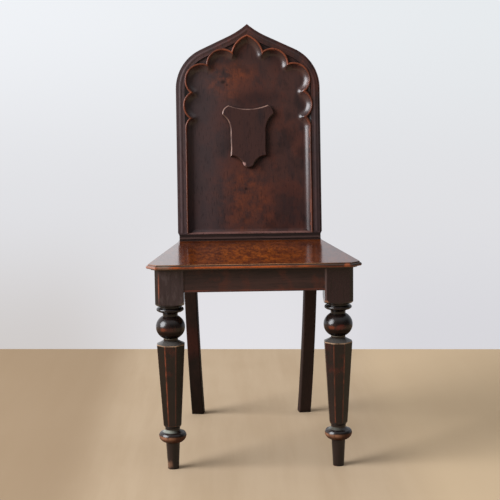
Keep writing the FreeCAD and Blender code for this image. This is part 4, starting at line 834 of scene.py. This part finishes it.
TIP_RUB = (-0.011, 0, 0.607), (0.004, 0, 0.004)


def shield_painted_light_and_rub(tree, place, tone, rough):
    """painted highlight and painted shade on the bevels by the way that they face, and a rub near
    the shield's tip
    """
    x, _, z = facing(tree)
    lit = reckon(tree, "MAXIMUM", ramp(tree, x, -0.15, -0.5), ramp(tree, z, 0.3, 0.6))
    ragged = ramp(tree, speckle(tree, place, 34, 4, 0.6), 0.38, 0.62)
    tone = stain(tree, tone, (0.2, 0.115, 0.09), lit, scaled(tree, ragged, 0.75, 0.2))
    shaded = reckon(tree, "MAXIMUM", ramp(tree, x, 0.15, 0.5), ramp(tree, z, -0.1, -0.4))
    tone = stain(tree, tone, (0.03, 0.011, 0.006), shaded, 0.7)
    return stain(tree, tone, (0.3, 0.17, 0.15), faded(tree, place, *TIP_RUB, 0.4)), rough, None


finish_nodes(stained_wood("shield polish", (0.021, 0.0145, 0.0155), (0.045, 0.021, 0.018),
                          (0.3, 0.15, 0.11), gloss=0.4, wear=0.002, start=0.6, coat=0.8,
                          film=0.22, sheen=0.0, relief=0.15, rubbed=shield_painted_light_and_rub), "shield")

# Floor: pale tan boards, quiet enough to pass for a plain studio floor, a little darker to the
# left and lighter to the right, the lighter right painted light, ending at the wall.

WALL_Y = 0.92
WALL_TURN = -0.08
HALF_ACROSS, HALF_ALONG = 4, 2.5


def pale_floor():
    """matt boards, faintly streaked towards the wall"""
    material = bpy.data.materials.new("pale floor")
    material.use_nodes = True
    tree = material.node_tree
    surface = tree.nodes["Principled BSDF"]
    place = put(tree, "ShaderNodeTexCoord").outputs["Object"]
    streak = ramp(tree, speckle(tree, place, 14, 5, 0.6, (1, 0.08, 1)), 0.35, 0.65)
    cloud = ramp(tree, speckle(tree, place, 3, 3, 0.5), 0.35, 0.65)
    figure = scaled(tree, streak, 0.6, times(tree, cloud, 0.4))
    colour = tint(tree, figure, (0.39, 0.285, 0.185), (0.435, 0.325, 0.218))
    x = axes(tree, place)[0]
    colour = stain(tree, colour, (0.28, 0.195, 0.12), ramp(tree, x, -0.27, -0.43), 0.8)
    # lighter towards the right: painted light over the chair's shadow
    colour = stain(tree, colour, (0.5, 0.37, 0.235), ramp(tree, x, 0.22, 0.4), 0.8)
    tree.links.new(colour, surface.inputs["Base Color"])
    tree.links.new(scaled(tree, streak, 0.1, 0.6), surface.inputs["Roughness"])
    surface.inputs["Specular IOR Level"].default_value = 0.0
    return material


floor_mesh = bpy.data.meshes.new("floor")
shape = bmesh.new()
bmesh.ops.create_grid(shape, x_segments=1, y_segments=1, size=1)
bmesh.ops.scale(shape, vec=(HALF_ACROSS, HALF_ALONG, 1), verts=shape.verts)
bmesh.ops.translate(shape, vec=(0, WALL_Y - HALF_ALONG, 0), verts=shape.verts)
bmesh.ops.rotate(shape, cent=(0, WALL_Y, 0), matrix=Matrix.Rotation(WALL_TURN, 3, "Z"),
                 verts=shape.verts)
shape.to_mesh(floor_mesh)
shape.free()
floor_mesh.materials.append(pale_floor())
floor = bpy.data.objects.new("floor", floor_mesh)
bpy.context.scene.collection.objects.link(floor)

# Room: a pale wall behind, a bright ceiling, a dim room in front and to the right, and one
# large soft window to the left of the camera.

MIDDLE = Vector((0, 0, 0.5))
WINDOW_PLACE = -6.17, -2.38, 3.35
WINDOW_SIZE = 5.6, 5.8

world = bpy.data.worlds.new("room")
world.use_nodes = True
sky = world.node_tree
sky.nodes.clear()
direction = put(sky, "ShaderNodeTexCoord").outputs["Generated"]
x, y, z = axes(sky, direction)
behind = tint(sky, ramp(sky, x, -0.08, 0.14), (1.02, 1.04, 1.08), (0.49, 0.51, 0.55))
around = tint(sky, ramp(sky, y, -0.1, 0.45), (0.11, 0.105, 0.1), behind)
around = tint(sky, ramp(sky, z, 0.35, 0.9), around, (0.7, 0.71, 0.73))
lit = put(sky, "ShaderNodeBackground", {"Color": around, "Strength": 1.0})
high = tint(sky, ramp(sky, x, -0.25, 0.25), (0.88, 0.9, 0.935), (0.8, 0.83, 0.855))
skirting = tint(sky, ramp(sky, x, -0.14, -0.02), (0.63, 0.6, 0.59), (0.765, 0.755, 0.785))
skirting = tint(sky, ramp(sky, x, 0.03, 0.15), skirting, (0.685, 0.68, 0.715))
low = tint(sky, ramp(sky, z, -0.22, -0.1), skirting, (0.745, 0.745, 0.77))
wall = put(sky, "ShaderNodeMix", {0: ramp(sky, z, -0.13, 0.06), 6: low, 7: high},
           data_type="RGBA").outputs[2]
seen = put(sky, "ShaderNodeBackground", {"Color": wall, "Strength": 1.0})
camera_ray = put(sky, "ShaderNodeLightPath").outputs["Is Camera Ray"]
both = put(sky, "ShaderNodeMixShader", {0: camera_ray, 1: lit.outputs[0], 2: seen.outputs[0]})
put(sky, "ShaderNodeOutputWorld", {"Surface": both.outputs[0]})
bpy.context.scene.world = world

lamp = bpy.data.lights.new("window", "AREA")
lamp.shape = "ELLIPSE"
lamp.size, lamp.size_y = WINDOW_SIZE
lamp.energy = 1200
lamp.color = (0.93, 0.96, 1.0)
window = bpy.data.objects.new("window", lamp)
window.location = WINDOW_PLACE
aim = MIDDLE - window.location
window.rotation_euler = aim.to_track_quat("-Z", "Y").to_euler()
bpy.context.scene.collection.objects.link(window)

# Camera: higher than the seat and a little left of the middle, looking slightly down, as fitted
# to the chair's own lines in the photograph.

SENSOR = 36
PHOTO_WIDTH = 500
FOCAL_PIXELS = 1271.6
CAMERA_PLACE = -0.060, LEG_Y - 2.5663, 0.8266
PAN, PITCH, ROLL = -0.0206, 0.143, -0.0127

view = bpy.data.cameras.new("camera")
view.sensor_width = SENSOR
view.lens = FOCAL_PIXELS / PHOTO_WIDTH * SENSOR
camera = bpy.data.objects.new("camera", view)
camera.matrix_world = (Matrix.Translation(CAMERA_PLACE) @ Matrix.Rotation(PAN, 4, "Z")
                       @ Matrix.Rotation(math.pi / 2 - PITCH, 4, "X")
                       @ Matrix.Rotation(ROLL, 4, "Z"))
bpy.context.scene.collection.objects.link(camera)
bpy.context.scene.camera = camera
bpy.context.scene.view_settings.view_transform = "Standard"
